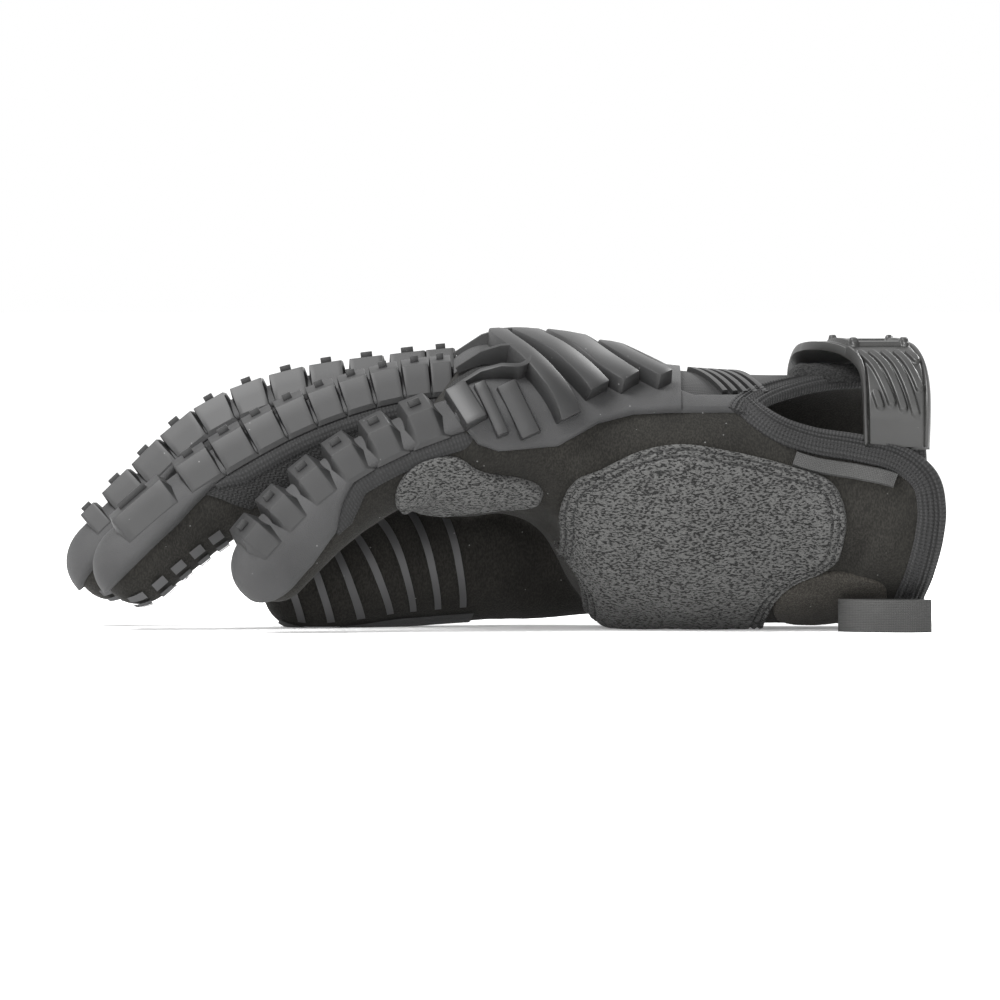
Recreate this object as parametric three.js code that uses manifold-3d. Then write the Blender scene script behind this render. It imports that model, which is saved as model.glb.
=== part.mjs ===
// A left-hand mechanic's impact glove, palm down, as it keeps its form on a bench.
// Millimetres. +Z is up, -X is towards the fingertips, -Y is the little-finger side.
import * as THREE from "three";
import { mergeVertices } from "three/addons/utils/BufferGeometryUtils.js";
import Module from "manifold-3d";

const wasm = await Module();
wasm.setup();

// Overall sizes
const HAND_LENGTH = 234;
const HAND_HEIGHT = 80;
const PALM_WIDTH = 94;
const FINGER_WIDTH = 22;
const FINGER_DEPTH = 22.5;
const THUMB_WIDTH = 29;
const THUMB_DEPTH = 33;

// Cloth, pads and mouldings
const CLOTH_WALL = 1.8;
const WEB_WALL = 8;
const SEAM_GAP = 0.35;
const PATCH_WALL = 1.4;
const GUARD_BASE = 1.5;
const RIB_HEIGHT = 4.2;
const RIB_WIDTH = 5.6;
const TREAD_HEIGHT = 3.8;
const CAP_SHARE = 0.7;
const TREAD_FLANK = 0.13;
const RELIEF_WALL = 0.9;
const RELIEF_LINE_WIDTH = 2.4;

// Cuff, strap and trim
const BINDING_WIDTH = 7.4;
const BINDING_OUTER = 1.7;
const BINDING_INNER = 1.2;
const CLOSURE_PAD_WALL = 3.4;
const STRAP_WALL = 2.6;
const STRAP_LIFT = 5.4;
const STRAP_RIB_WIDTH = 2.2;
const STRAP_RIB_HEIGHT = 0.9;
const LABEL_WIDTH = 4.2;
const LABEL_WALL = 1.1;
const LOOP_WIDTH = 8.6;
const LOOP_WALL = 1.2;

// What rests on the bench is this far below the palm's own skin.
const PALM_REST = PATCH_WALL + SEAM_GAP;
const GUARD_FACE = GUARD_BASE + SEAM_GAP;

// A cut that ends on a neighbour's edge runs this much past it.
const EDGE_OVER = 0.01;

// Hand body: one row for each section, from the finger roots to the cuff. top and bottom are
// shares of the height, near and far half widths are shares of the width, taper narrows the
// section towards its bottom and lean moves its bottom towards the thumb side.
const BODY_SECTIONS = [
  { along: 0.389, top: 0.5, bottom: 0.43, near: 0.36, far: 0.34, taper: 0.0, lean: 0.0 },
  { along: 0.402, top: 0.62, bottom: 0.4, near: 0.42, far: 0.4, taper: 0.02, lean: 0.0 },
  { along: 0.43, top: 0.8, bottom: 0.382, near: 0.45, far: 0.44, taper: 0.04, lean: 0.0 },
  { along: 0.465, top: 0.905, bottom: 0.378, near: 0.472, far: 0.465, taper: 0.06, lean: 0.0 },
  { along: 0.505, top: 0.92, bottom: 0.385, near: 0.485, far: 0.475, taper: 0.1, lean: 0.01 },
  { along: 0.548, top: 0.917, bottom: 0.31, near: 0.49, far: 0.48, taper: 0.18, lean: 0.03 },
  { along: 0.58, top: 0.905, bottom: 0.15, near: 0.49, far: 0.48, taper: 0.26, lean: 0.05 },
  { along: 0.615, top: 0.88, bottom: 0.035, near: 0.49, far: 0.48, taper: 0.3, lean: 0.05 },
  { along: 0.66, top: 0.862, bottom: 0.008, near: 0.485, far: 0.465, taper: 0.32, lean: 0.04 },
  { along: 0.72, top: 0.844, bottom: 0.006, near: 0.465, far: 0.44, taper: 0.28, lean: 0.02 },
  { along: 0.79, top: 0.834, bottom: 0.01, near: 0.425, far: 0.415, taper: 0.2, lean: 0.01 },
  { along: 0.87, top: 0.834, bottom: 0.016, near: 0.4, far: 0.4, taper: 0.14, lean: 0.0 },
  { along: 0.94, top: 0.834, bottom: 0.03, near: 0.405, far: 0.41, taper: 0.1, lean: 0.0 },
  { along: 1.06, top: 0.836, bottom: 0.035, near: 0.42, far: 0.42, taper: 0.08, lean: 0.0 },
];
const BODY_SQUARE = 2.35;

// Dents and bulges of the hand body: where they lie (share of length, degrees round the
// section: 0 thumb side, 90 back, 180 little-finger side), how far they reach along (share of
// length) and round (degrees), and how far they swell (share of width, inwards if negative).
const BODY_FOLDS = [
  { along: 0.552, around: 205, reach: 0.034, spread: 36, swell: -0.022 },
  { along: 0.468, around: 215, reach: 0.05, spread: 42, swell: 0.018 },
  { along: 0.7, around: 205, reach: 0.09, spread: 45, swell: 0.028 },
  { along: 0.605, around: 222, reach: 0.025, spread: 25, swell: 0.012 },
  { along: 0.86, around: 215, reach: 0.05, spread: 30, swell: -0.02 },
];

// Middle lines of the fingers and the thumb, root to tip, as shares of length, width, height.
const FINGER_LINES = {
  little: [
    { along: 0.499, across: -0.335, up: 0.665 },
    { along: 0.42, across: -0.358, up: 0.592 },
    { along: 0.3525, across: -0.372, up: 0.497 },
    { along: 0.296, across: -0.382, up: 0.375 },
    { along: 0.258, across: -0.392, up: 0.263 },
    { along: 0.22, across: -0.402, up: 0.13 },
  ],
  ring: [
    { along: 0.4876, across: -0.12, up: 0.725 },
    { along: 0.386, across: -0.125, up: 0.695 },
    { along: 0.296, across: -0.13, up: 0.612 },
    { along: 0.2173, across: -0.135, up: 0.492 },
    { along: 0.1498, across: -0.14, up: 0.362 },
    { along: 0.058, across: -0.145, up: 0.13 },
  ],
  middle: [
    { along: 0.4876, across: 0.12, up: 0.752 },
    { along: 0.3964, across: 0.125, up: 0.727 },
    { along: 0.269, across: 0.13, up: 0.67 },
    { along: 0.19, across: 0.135, up: 0.575 },
    { along: 0.115, across: 0.14, up: 0.378 },
    { along: 0.026, across: 0.145, up: 0.13 },
  ],
  index: [
    { along: 0.4876, across: 0.29, up: 0.69 },
    { along: 0.386, across: 0.335, up: 0.68 },
    { along: 0.2849, across: 0.378, up: 0.618 },
    { along: 0.206, across: 0.39, up: 0.492 },
    { along: 0.1385, across: 0.4, up: 0.348 },
    { along: 0.08, across: 0.41, up: 0.145 },
  ],
  thumb: [
    { along: 0.69, across: 0.2, up: 0.27 },
    { along: 0.55, across: 0.215, up: 0.232 },
    { along: 0.45, across: 0.16, up: 0.225 },
    { along: 0.38, across: 0.125, up: 0.2 },
    { along: 0.32, across: 0.1, up: 0.155 },
    { along: 0.229, across: 0.08, up: 0.105 },
  ],
};

// How a finger and the thumb narrow towards the tip, as shares of their width and depth.
const FINGER_PROFILE = [
  { share: 0.0, width: 1.0, depth: 0.94 },
  { share: 0.35, width: 0.99, depth: 0.94 },
  { share: 0.65, width: 0.94, depth: 0.95 },
  { share: 1.0, width: 0.86, depth: 0.9 },
];
const THUMB_PROFILE = [
  { share: 0.0, width: 1.15, depth: 0.95 },
  { share: 0.35, width: 1.0, depth: 1.0 },
  { share: 0.62, width: 0.9, depth: 0.98 },
  { share: 0.8, width: 0.8, depth: 0.83 },
  { share: 1.0, width: 0.72, depth: 0.66 },
];

// Fingers: size as a share of the finger's width and depth, roll of its back towards the
// little-finger side in degrees, where its guard starts and its tip cap starts (shares of its
// line), how many treads lie between them, whether its near side has a gusset of its own, and
// whether the knit of its back reaches down its far side.
const FINGERS = [
  { name: "little", size: 0.93, roll: 16, guard: 0.05, cap: 0.85, treads: 8, near: false, far: true },
  { name: "ring", size: 1.0, roll: 6, guard: 0.02, cap: 0.72, treads: 8, near: true, far: true },
  { name: "middle", size: 1.0, roll: -2, guard: 0.02, cap: 0.86, treads: 11, near: true, far: true },
  { name: "index", size: 0.98, roll: -10, guard: 0.02, cap: 0.8, treads: 9, near: true, far: false },
];

// Degrees round a finger: the knit back's edges and the gusset's edges.
const BACK_HALF_ANGLE = 52;
const GUSSET_LOW_ANGLE = 212;
const GUSSET_TIP_ANGLE = 196;
const GUSSET_END = 0.66;
const BACK_END = 0.8;
const THUMB_SEAM_ANGLE = 236;
const THUMB_BACK_ANGLE = 150;
const THUMB_SEAM = 0.34;
const RELIEF_ANGLE = 26;
const RELIEF_PITCH = 0.0135;
const STRAIGHT_SEAM = 0.452;

const TIP_DOME = 0.45;
const FINGER_SQUARE = 2.2;
const FINGER_SIDES = 8;
const FINGER_RINGS = 4;
const BODY_SIDES = 12;
const BODY_RINGS = 11;
const INNER_SIDES = 5;
const INNER_RINGS = 4;
const WEDGE_STEPS = 4;
const WEDGE_ARCS = 2;
const BINDING_STEPS = 14;
const STRAP_STEPS = 10;

const degrees = THREE.MathUtils.degToRad;
const clamp01 = (value) => Math.min(1, Math.max(0, value));
const mix = (a, b, t) => a + (b - a) * t;
const smooth = (t) => clamp01(t) ** 2 * (3 - 2 * clamp01(t));
const alongX = (along) => (along - 0.5) * HAND_LENGTH;
const acrossY = (across) => across * PALM_WIDTH;
const upZ = (up) => up * HAND_HEIGHT;

// Smooth reading of one column of a table, held at its ends.
function readTable(rows, key, column, place) {
  const last = rows.length - 1;
  let i = 0;
  while (i < last - 1 && place > rows[i + 1][key]) i += 1;
  const span = rows[i + 1][key] - rows[i][key];
  const t = clamp01((place - rows[i][key]) / span);
  const slope = (k) => {
    const a = rows[Math.max(0, k - 1)];
    const b = rows[Math.min(last, k + 1)];
    return (b[column] - a[column]) / (b[key] - a[key]);
  };
  const start = (2 * t ** 3 - 3 * t ** 2 + 1) * rows[i][column];
  const end = (3 * t ** 2 - 2 * t ** 3) * rows[i + 1][column];
  const bend = (t ** 3 - 2 * t ** 2 + t) * slope(i) + (t ** 3 - t ** 2) * slope(i + 1);
  return start + end + bend * span;
}

// The two coordinates of a rounded square of half size 1 at an angle.
function roundedSquare(angle, power) {
  const c = Math.cos(angle);
  const s = Math.sin(angle);
  return [Math.sign(c) * Math.abs(c) ** (2 / power), Math.sign(s) * Math.abs(s) ** (2 / power)];
}

// A closed solid from rings of points with the same count, each end closed by a fan.
function loftSolid(rings, tip = null) {
  const count = rings[0].length;
  const points = rings.flat();
  const centre = (ring) => ring.reduce((sum, p) => sum.add(p), new THREE.Vector3()).divideScalar(count);
  const ends = [centre(rings[0]), tip ?? centre(rings[rings.length - 1])];
  const faces = [];
  for (let i = 0; i < rings.length - 1; i += 1) {
    for (let j = 0; j < count; j += 1) {
      const k = (j + 1) % count;
      const a = i * count;
      const b = a + count;
      faces.push([a + j, b + j, b + k], [a + j, b + k, a + k]);
    }
  }
  const lastRing = (rings.length - 1) * count;
  for (let j = 0; j < count; j += 1) {
    const k = (j + 1) % count;
    faces.push([points.length, j, k], [points.length + 1, lastRing + k, lastRing + j]);
  }
  return solidFrom([...points, ...ends], faces);
}

// A solid from rings of points whose last ring meets the first again.
function ringSolid(rings) {
  const count = rings[0].length;
  const faces = [];
  rings.forEach((_, i) => {
    for (let j = 0; j < count; j += 1) {
      const k = (j + 1) % count;
      const a = i * count;
      const b = ((i + 1) % rings.length) * count;
      faces.push([a + j, b + j, b + k], [a + j, b + k, a + k]);
    }
  });
  return solidFrom(rings.flat(), faces);
}

// A solid from points and triangles, turned the right way out.
function solidFrom(points, faces) {
  let volume = 0;
  for (const [a, b, c] of faces) {
    volume += points[a].dot(new THREE.Vector3().crossVectors(points[b], points[c]));
  }
  const outwards = volume > 0 ? faces : faces.map(([a, b, c]) => [a, c, b]);
  const vertProperties = new Float32Array(points.flatMap((p) => [p.x, p.y, p.z]));
  const triVerts = new Uint32Array(outwards.flat());
  return new wasm.Manifold(new wasm.Mesh({ numProp: 3, vertProperties, triVerts }));
}

// A solid from a three.js geometry with shared corners.
function solidFromGeometry(geometry) {
  geometry.deleteAttribute("normal");
  geometry.deleteAttribute("uv");
  const merged = mergeVertices(geometry, 1e-4);
  const vertProperties = new Float32Array(merged.attributes.position.array);
  const triVerts = new Uint32Array(merged.index.array);
  return new wasm.Manifold(new wasm.Mesh({ numProp: 3, vertProperties, triVerts }));
}

// The biggest body of a solid, without the crumbs that a cut leaves.
function biggest(solid) {
  return solid.decompose().reduce((best, body) => (body.volume() > best.volume() ? body : best));
}

const joinAll = (solids) => solids.reduce((whole, solid) => whole.add(solid));

// A prism seen from the side: its outline is in shares of length and height.
function sidePrism(outline, fromAcross, toAcross, push = 0) {
  const spot = (p) => new THREE.Vector2(alongX(p.along), upZ(p.up));
  const whole = outline.reduce((sum, p) => sum.add(spot(p)), new THREE.Vector2());
  const middle = whole.divideScalar(outline.length);
  const corners = outline.map((p) => {
    const arm = spot(p).sub(middle);
    return spot(p).add(arm.setLength(push));
  });
  const depth = acrossY(toAcross - fromAcross);
  const geometry = new THREE.ExtrudeGeometry(new THREE.Shape(corners), { depth, bevelEnabled: false });
  geometry.rotateX(Math.PI / 2);
  geometry.translate(0, acrossY(toAcross), 0);
  return solidFromGeometry(geometry);
}

// A smooth closed outline through the rows of a side-view table.
function roundOutline(rows, steps) {
  const points = rows.map((row) => new THREE.Vector3(row.along, row.up, 0));
  const curve = new THREE.CatmullRomCurve3(points, true, "centripetal");
  return curve.getSpacedPoints(steps).slice(0, steps).map((p) => ({ along: p.x, up: p.y }));
}

// A point of the hand body's own skin.
function bodySkin(along, angle) {
  const read = (column) => readTable(BODY_SECTIONS, "along", column, along);
  let swell = 0;
  for (const fold of BODY_FOLDS) {
    const turn = angle - degrees(fold.around);
    const round = Math.atan2(Math.sin(turn), Math.cos(turn)) / degrees(fold.spread);
    const reach = (along - fold.along) / fold.reach;
    swell += fold.swell * PALM_WIDTH * Math.exp(-(reach ** 2) - round ** 2);
  }
  const [ey, ez] = roundedSquare(angle, BODY_SQUARE);
  const sink = (1 - ez) / 2;
  const half = ey > 0 ? read("far") : read("near");
  const y = acrossY(ey * half * (1 - read("taper") * sink) + read("lean") * sink);
  const z = upZ(mix(read("bottom"), read("top"), (1 + ez) / 2));
  return new THREE.Vector3(alongX(along), y + Math.cos(angle) * swell, z + Math.sin(angle) * swell);
}

// The body's skin pushed out by grow, flat where it lies on the bench, with its normal.
function bodyAt(along, angle, grow) {
  const step = 1e-3;
  const alongWay = bodySkin(along + step, angle).sub(bodySkin(along - step, angle));
  const roundWay = bodySkin(along, angle + step).sub(bodySkin(along, angle - step));
  const normal = new THREE.Vector3().crossVectors(alongWay, roundWay).normalize();
  const radial = new THREE.Vector3(0, Math.cos(angle), Math.sin(angle));
  if (normal.dot(radial) < 0) normal.negate();
  const point = bodySkin(along, angle).addScaledVector(normal, grow);
  point.z = Math.max(point.z, PALM_REST - grow);
  return { point, normal };
}

// The angle round the body where its side has a height, on the little-finger side (-1) or
// the thumb side (1).
function bodyAngle(along, up, side) {
  let high = Math.PI / 2;
  let low = side < 0 ? Math.PI * 1.5 : -Math.PI / 2;
  for (let i = 0; i < 30; i += 1) {
    const middle = (high + low) / 2;
    if (bodySkin(along, middle).z > upZ(up)) high = middle;
    else low = middle;
  }
  return (high + low) / 2;
}

function bodySolid(grow, sides, rings) {
  const front = grow < 0 ? WEB_WALL : -grow;
  const first = BODY_SECTIONS[0].along;
  const last = BODY_SECTIONS[BODY_SECTIONS.length - 1].along;
  const loops = [];
  for (let i = 0; i <= rings; i += 1) {
    const shift = { 0: front, [rings]: -grow }[i] ?? 0;
    const along = mix(first, last, (i / rings) ** 1.12) + shift / HAND_LENGTH;
    const loop = [];
    for (let j = 0; j < sides; j += 1) {
      loop.push(bodyAt(along, ((j + 0.5) / sides) * Math.PI * 2, grow).point);
    }
    loops.push(loop);
  }
  return loftSolid(loops);
}

// A finger or the thumb: its middle line, size, profile and how low it may lie at the tip.
function makeStall(name, width, depth, roll, profile) {
  const points = FINGER_LINES[name].map(
    (row) => new THREE.Vector3(alongX(row.along), acrossY(row.across), upZ(row.up)),
  );
  const curve = new THREE.CatmullRomCurve3(points, false, "centripetal");
  return { curve, whole: curve.getLength(), width, depth, roll, profile };
}

// Middle, directions and half sizes of a stall at a share of its line.
function stallFrame(stall, share) {
  const held = clamp01(share);
  const forward = stall.curve.getTangentAt(held);
  const point = stall.curve.getPointAt(held).addScaledVector(forward, (share - held) * stall.whole);
  const level = new THREE.Vector3().crossVectors(forward, new THREE.Vector3(0, 0, 1)).normalize();
  const upright = new THREE.Vector3().crossVectors(level, forward).normalize();
  const roll = degrees(stall.roll);
  const up = upright.clone().multiplyScalar(Math.cos(roll)).addScaledVector(level, -Math.sin(roll));
  const side = level.clone().multiplyScalar(Math.cos(roll)).addScaledVector(upright, Math.sin(roll));
  const width = (stall.width / 2) * readTable(stall.profile, "share", "width", held);
  const depth = (stall.depth / 2) * readTable(stall.profile, "share", "depth", held);
  return { point, forward, up, side, width, depth };
}

// A point of a stall's skin pushed out by grow, with its normal. Past the last stretch the
// skin closes in a dome, whose slope runs from 0 to 90 degrees.
function stallAt(stall, share, angle, grow) {
  const domeLength = stall.depth * TIP_DOME;
  const domeStart = 1 - domeLength / stall.whole;
  const slope = Math.asin(clamp01((share - domeStart) / (1 - domeStart)));
  const frame = stallFrame(stall, share);
  const [ex, ez] = roundedSquare(angle, FINGER_SQUARE);
  const squeeze = Math.cos(slope) ** 0.85;
  const point = frame.point.clone();
  point.addScaledVector(frame.side, ex * (frame.width + grow) * squeeze);
  point.addScaledVector(frame.up, ez * (frame.depth + grow) * squeeze);
  point.addScaledVector(frame.forward, grow * Math.sin(slope));
  point.z = Math.max(point.z, PALM_REST * smooth(1.6 - 3 * share) - grow);
  const normal = frame.side.clone().multiplyScalar(Math.cos(angle));
  normal.addScaledVector(frame.up, Math.sin(angle)).multiplyScalar(Math.cos(slope));
  normal.addScaledVector(frame.forward, Math.sin(slope)).normalize();
  return { point, normal };
}

function stallSolid(stall, grow, sides, rings) {
  const domeStart = 1 - (stall.depth * TIP_DOME) / stall.whole;
  const shares = [];
  for (let i = 0; i <= rings; i += 1) shares.push(mix(-0.06, domeStart, i / rings));
  for (const slope of [35, 68]) shares.push(mix(domeStart, 1, Math.sin(degrees(slope))));
  const loops = shares.map((share) => {
    const loop = [];
    for (let j = 0; j < sides; j += 1) {
      const angle = ((j / sides) * 2 + 0.5) * Math.PI;
      loop.push(stallAt(stall, share, angle, grow).point);
    }
    return loop;
  });
  return loftSolid(loops, stallAt(stall, 1, 0, grow).point);
}

// A wedge round a stall's middle line between two edges given by share, out to a reach.
function stallWedge(stall, fromShare, toShare, edges, reach) {
  const loops = [];
  for (let i = 0; i <= WEDGE_STEPS; i += 1) {
    const share = mix(fromShare, toShare, i / WEDGE_STEPS);
    const frame = stallFrame(stall, share);
    const [from, to] = edges(i / WEDGE_STEPS);
    const loop = [frame.point.clone()];
    for (let j = 0; j <= WEDGE_ARCS; j += 1) {
      const angle = degrees(mix(from, to, j / WEDGE_ARCS));
      const spot = frame.point.clone().addScaledVector(frame.side, Math.cos(angle) * reach);
      loop.push(spot.addScaledVector(frame.up, Math.sin(angle) * reach));
    }
    loops.push(loop);
  }
  return loftSolid(loops);
}

// The degrees that a gap takes round a stall of some width.
const gapAngle = (gap, width) => THREE.MathUtils.radToDeg(gap / (width / 2));

// A bar laid on a skin: stations give its middle, normal and width. Its foot is sunk a
// little so that it joins what it stands on.
function barSolid(stations, height, sink, topShare) {
  const loops = stations.map((station, i) => {
    const before = stations[Math.max(0, i - 1)].point;
    const after = stations[Math.min(stations.length - 1, i + 1)].point;
    const way = after.clone().sub(before).normalize();
    const aside = new THREE.Vector3().crossVectors(station.normal, way).normalize();
    const corner = (lift, half) => {
      return station.point.clone().addScaledVector(station.normal, lift).addScaledVector(aside, half);
    };
    const foot = station.width / 2;
    const top = foot * topShare;
    return [corner(-sink, -foot), corner(-sink, foot), corner(height, top), corner(height, -top)];
  });
  return loftSolid(loops);
}

const STALLS = {};
for (const finger of FINGERS) {
  const width = FINGER_WIDTH * finger.size;
  const depth = FINGER_DEPTH * finger.size;
  STALLS[finger.name] = makeStall(finger.name, width, depth, finger.roll, FINGER_PROFILE);
}
STALLS.thumb = makeStall("thumb", THUMB_WIDTH, THUMB_DEPTH, 0, THUMB_PROFILE);

// The whole hand's skin pushed out by grow.
function handSolid(grow) {
  const [sides, rings] = grow < 0 ? [INNER_SIDES, INNER_RINGS] : [FINGER_SIDES, FINGER_RINGS];
  const body = bodySolid(grow, BODY_SIDES, BODY_RINGS);
  const stalls = Object.values(STALLS).map((stall) => stallSolid(stall, grow, sides, rings));
  return joinAll([body, ...stalls]);
}

// The stretch of width that belongs to one finger, between the middles to its neighbours.
function fingerStrip(index, shrink) {
  const names = FINGERS.map((finger) => finger.name);
  const corners = (neighbour, way) => {
    const own = FINGER_LINES[names[index]];
    const other = FINGER_LINES[names[neighbour]];
    const edge = (k, along) => {
      const across = other ? (own[k].across + other[k].across) / 2 : own[k].across + way;
      return new THREE.Vector2(alongX(along), acrossY(across) - way * shrink);
    };
    return [edge(0, 1.1), edge(own.length - 1, -0.1)];
  };
  const [nearRoot, nearTip] = corners(index - 1, -1);
  const [farRoot, farTip] = corners(index + 1, 1);
  const shape = new THREE.Shape([nearRoot, farRoot, farTip, nearTip]);
  const depth = HAND_HEIGHT * 2;
  const geometry = new THREE.ExtrudeGeometry(shape, { depth, bevelEnabled: false });
  geometry.translate(0, 0, -HAND_HEIGHT / 2);
  return solidFromGeometry(geometry);
}

// Cuff binding: along its back branch, from the notch over the back and down the thumb side
// to the bottom (degrees round the cuff), and along its palm branch (height on the near side).
const BINDING_BACK = [
  { along: 0.772, around: 132 },
  { along: 0.79, around: 123 },
  { along: 0.8255, around: 112 },
  { along: 0.87, around: 101 },
  { along: 0.91, around: 95 },
  { along: 0.94, around: 86 },
  { along: 0.957, around: 68 },
  { along: 0.966, around: 40 },
  { along: 0.972, around: 5 },
  { along: 0.972, around: -35 },
  { along: 0.962, around: -70 },
  { along: 0.955, around: -100 },
];
const BINDING_PALM = [
  { along: 0.772, up: 0.755 },
  { along: 0.79, up: 0.71 },
  { along: 0.815, up: 0.666 },
  { along: 0.85, up: 0.632 },
  { along: 0.9, up: 0.608 },
  { along: 0.945, up: 0.575 },
  { along: 0.975, up: 0.51 },
  { along: 0.984, up: 0.42 },
  { along: 0.982, up: 0.32 },
  { along: 0.972, up: 0.2 },
  { along: 0.958, up: 0.09 },
  { along: 0.953, up: 0.02 },
];

// A rounded band laid along a route on the cuff, wrapped over the edge of the cloth.
function bindingBranch(route, grow) {
  const spots = route.map((row) => new THREE.Vector3(row.along, row.angle, 0));
  const curve = new THREE.CatmullRomCurve3(spots, false, "centripetal");
  const stations = curve.getPoints(BINDING_STEPS).map((spot) => bodyAt(spot.x, spot.y, 0));
  const section = [
    { aside: -0.5, lift: -0.35 }, { aside: 0, lift: -1 }, { aside: 0.5, lift: -0.35 },
    { aside: 0.5, lift: 0.35 }, { aside: 0.2, lift: 1 }, { aside: -0.2, lift: 1 },
    { aside: -0.5, lift: 0.35 },
  ];
  const loops = stations.map((station, i) => {
    const before = stations[Math.max(0, i - 1)].point;
    const after = stations[Math.min(stations.length - 1, i + 1)].point;
    const way = after.clone().sub(before).normalize();
    const aside = new THREE.Vector3().crossVectors(station.normal, way).normalize();
    return section.map((corner) => {
      const out = corner.lift > 0 ? BINDING_OUTER + grow : CLOTH_WALL + BINDING_INNER + grow;
      const spot = station.point.clone().addScaledVector(station.normal, corner.lift * out);
      return spot.addScaledVector(aside, corner.aside * (BINDING_WIDTH + 2 * grow));
    });
  });
  return loftSolid(loops);
}

function bindingSolid(grow) {
  const back = BINDING_BACK.map((row) => ({ along: row.along, angle: degrees(row.around) }));
  const palm = BINDING_PALM.map(({ along, up }) => ({ along, angle: bodyAngle(along, up, -1) }));
  palm.push({ along: palm[palm.length - 1].along, angle: degrees(272) });
  return bindingBranch(back, grow).add(bindingBranch(palm, grow));
}

// Seam between back and palm on both sides of the hand, from the finger roots to the notch.
const BACK_OUTLINE = [
  { along: STRAIGHT_SEAM, up: 1.2 },
  { along: STRAIGHT_SEAM, up: 0.63 },
  { along: 0.5, up: 0.625 },
  { along: 0.57, up: 0.67 },
  { along: 0.64, up: 0.705 },
  { along: 0.72, up: 0.735 },
  { along: 0.8, up: 0.74 },
  { along: 1.2, up: 0.74 },
  { along: 1.2, up: 1.2 },
];

const skin = handSolid(0);
const clear = handSolid(SEAM_GAP).add(skin);
const outerBody = (grow) => bodySolid(grow, BODY_SIDES, BODY_RINGS);
const outerStall = (name, grow) => stallSolid(STALLS[name], grow, FINGER_SIDES, FINGER_RINGS);
const clearBody = outerBody(SEAM_GAP);
const clearFingers = joinAll(FINGERS.map((finger) => outerStall(finger.name, SEAM_GAP)));
const hollow = handSolid(-CLOTH_WALL);
const binding = biggest(bindingSolid(0));
const clearBinding = bindingSolid(SEAM_GAP);
const shell = biggest(skin.subtract(hollow).subtract(clearBinding));

// Back of the hand and of each finger, cut from the shell by its seams.
function backCutter(grow) {
  const fingers = FINGERS.map((finger, i) => {
    const stall = STALLS[finger.name];
    const far = finger.far ? 180 - GUSSET_LOW_ANGLE : 90 - BACK_HALF_ANGLE;
    const gap = gapAngle(grow, FINGER_WIDTH);
    const edges = () => [far - gap, 90 + BACK_HALF_ANGLE + gap];
    const wedge = stallWedge(stall, -0.05, BACK_END + grow / stall.whole, edges, FINGER_WIDTH);
    return wedge.intersect(fingerStrip(i, -grow / 2 + EDGE_OVER));
  });
  return joinAll([sidePrism(BACK_OUTLINE, -1, 1, grow), ...fingers]);
}

// Knit strip on the near side of a finger, narrowing towards the tip.
function gussetCutter(index, grow) {
  const stall = STALLS[FINGERS[index].name];
  const gap = gapAngle(grow, FINGER_WIDTH);
  const edges = (t) => {
    const pinch = clamp01((t - 0.6) / 0.4) ** 2;
    const low = mix(GUSSET_LOW_ANGLE, GUSSET_TIP_ANGLE, pinch);
    return [90 + BACK_HALF_ANGLE - gap, low + gap];
  };
  const wedge = stallWedge(stall, 0.06, GUSSET_END + grow / stall.whole, edges, FINGER_WIDTH);
  return wedge.intersect(fingerStrip(index, -grow / 2 + EDGE_OVER));
}

// The thumb's far and under side, seamed to its pad.
function thumbBackCutter(grow) {
  const gap = gapAngle(grow, THUMB_WIDTH);
  const edges = () => [THUMB_SEAM_ANGLE - gap, THUMB_SEAM_ANGLE + THUMB_BACK_ANGLE + gap];
  const start = THUMB_SEAM - grow / STALLS.thumb.whole;
  return stallWedge(STALLS.thumb, start, 1.04, edges, THUMB_WIDTH * 0.75);
}

const nodes = {};
nodes.back_panel = biggest(shell.intersect(backCutter(0)));
let rest = shell.subtract(backCutter(SEAM_GAP));
FINGERS.forEach((finger, i) => {
  if (!finger.near) return;
  nodes[`gusset_${finger.name}`] = biggest(rest.intersect(gussetCutter(i, 0)));
  rest = rest.subtract(gussetCutter(i, SEAM_GAP));
});
nodes.thumb_back = biggest(rest.intersect(thumbBackCutter(0)));
nodes.palm_panel = biggest(rest.subtract(thumbBackCutter(SEAM_GAP)));
nodes.cuff_binding = binding;

// Pads on the palm: their outlines from the little-finger side, closed under the hand.
const PALM_PAD_OUTLINE = [
  { along: 0.583, up: 0.5 },
  { along: 0.611, up: 0.54 },
  { along: 0.657, up: 0.6 },
  { along: 0.702, up: 0.622 },
  { along: 0.769, up: 0.592 },
  { along: 0.826, up: 0.55 },
  { along: 0.871, up: 0.5 },
  { along: 0.888, up: 0.4 },
  { along: 0.884, up: 0.27 },
  { along: 0.865, up: 0.155 },
  { along: 0.825, up: 0.066 },
  { along: 0.79, up: -0.06 },
  { along: 0.69, up: -0.1 },
  { along: 0.6, up: 0.013 },
  { along: 0.544, up: 0.105 },
  { along: 0.499, up: 0.237 },
  { along: 0.474, up: 0.319 },
  { along: 0.533, up: 0.276 },
  { along: 0.572, up: 0.263 },
  { along: 0.577, up: 0.34 },
  { along: 0.567, up: 0.42 },
];
const DISTAL_PAD_OUTLINE = [
  { along: 0.382, up: 0.48 },
  { along: 0.392, up: 0.533 },
  { along: 0.42, up: 0.575 },
  { along: 0.448, up: 0.582 },
  { along: 0.476, up: 0.54 },
  { along: 0.521, up: 0.507 },
  { along: 0.544, up: 0.46 },
  { along: 0.547, up: 0.4 },
  { along: 0.53, up: 0.33 },
  { along: 0.47, up: 0.3 },
  { along: 0.41, up: 0.33 },
];
const LOOP_PATCH_OUTLINE = [
  { along: 0.8, up: -0.06 },
  { along: 0.835, up: 0.045 },
  { along: 0.88, up: 0.11 },
  { along: 0.925, up: 0.085 },
  { along: 0.93, up: -0.06 },
];

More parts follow.
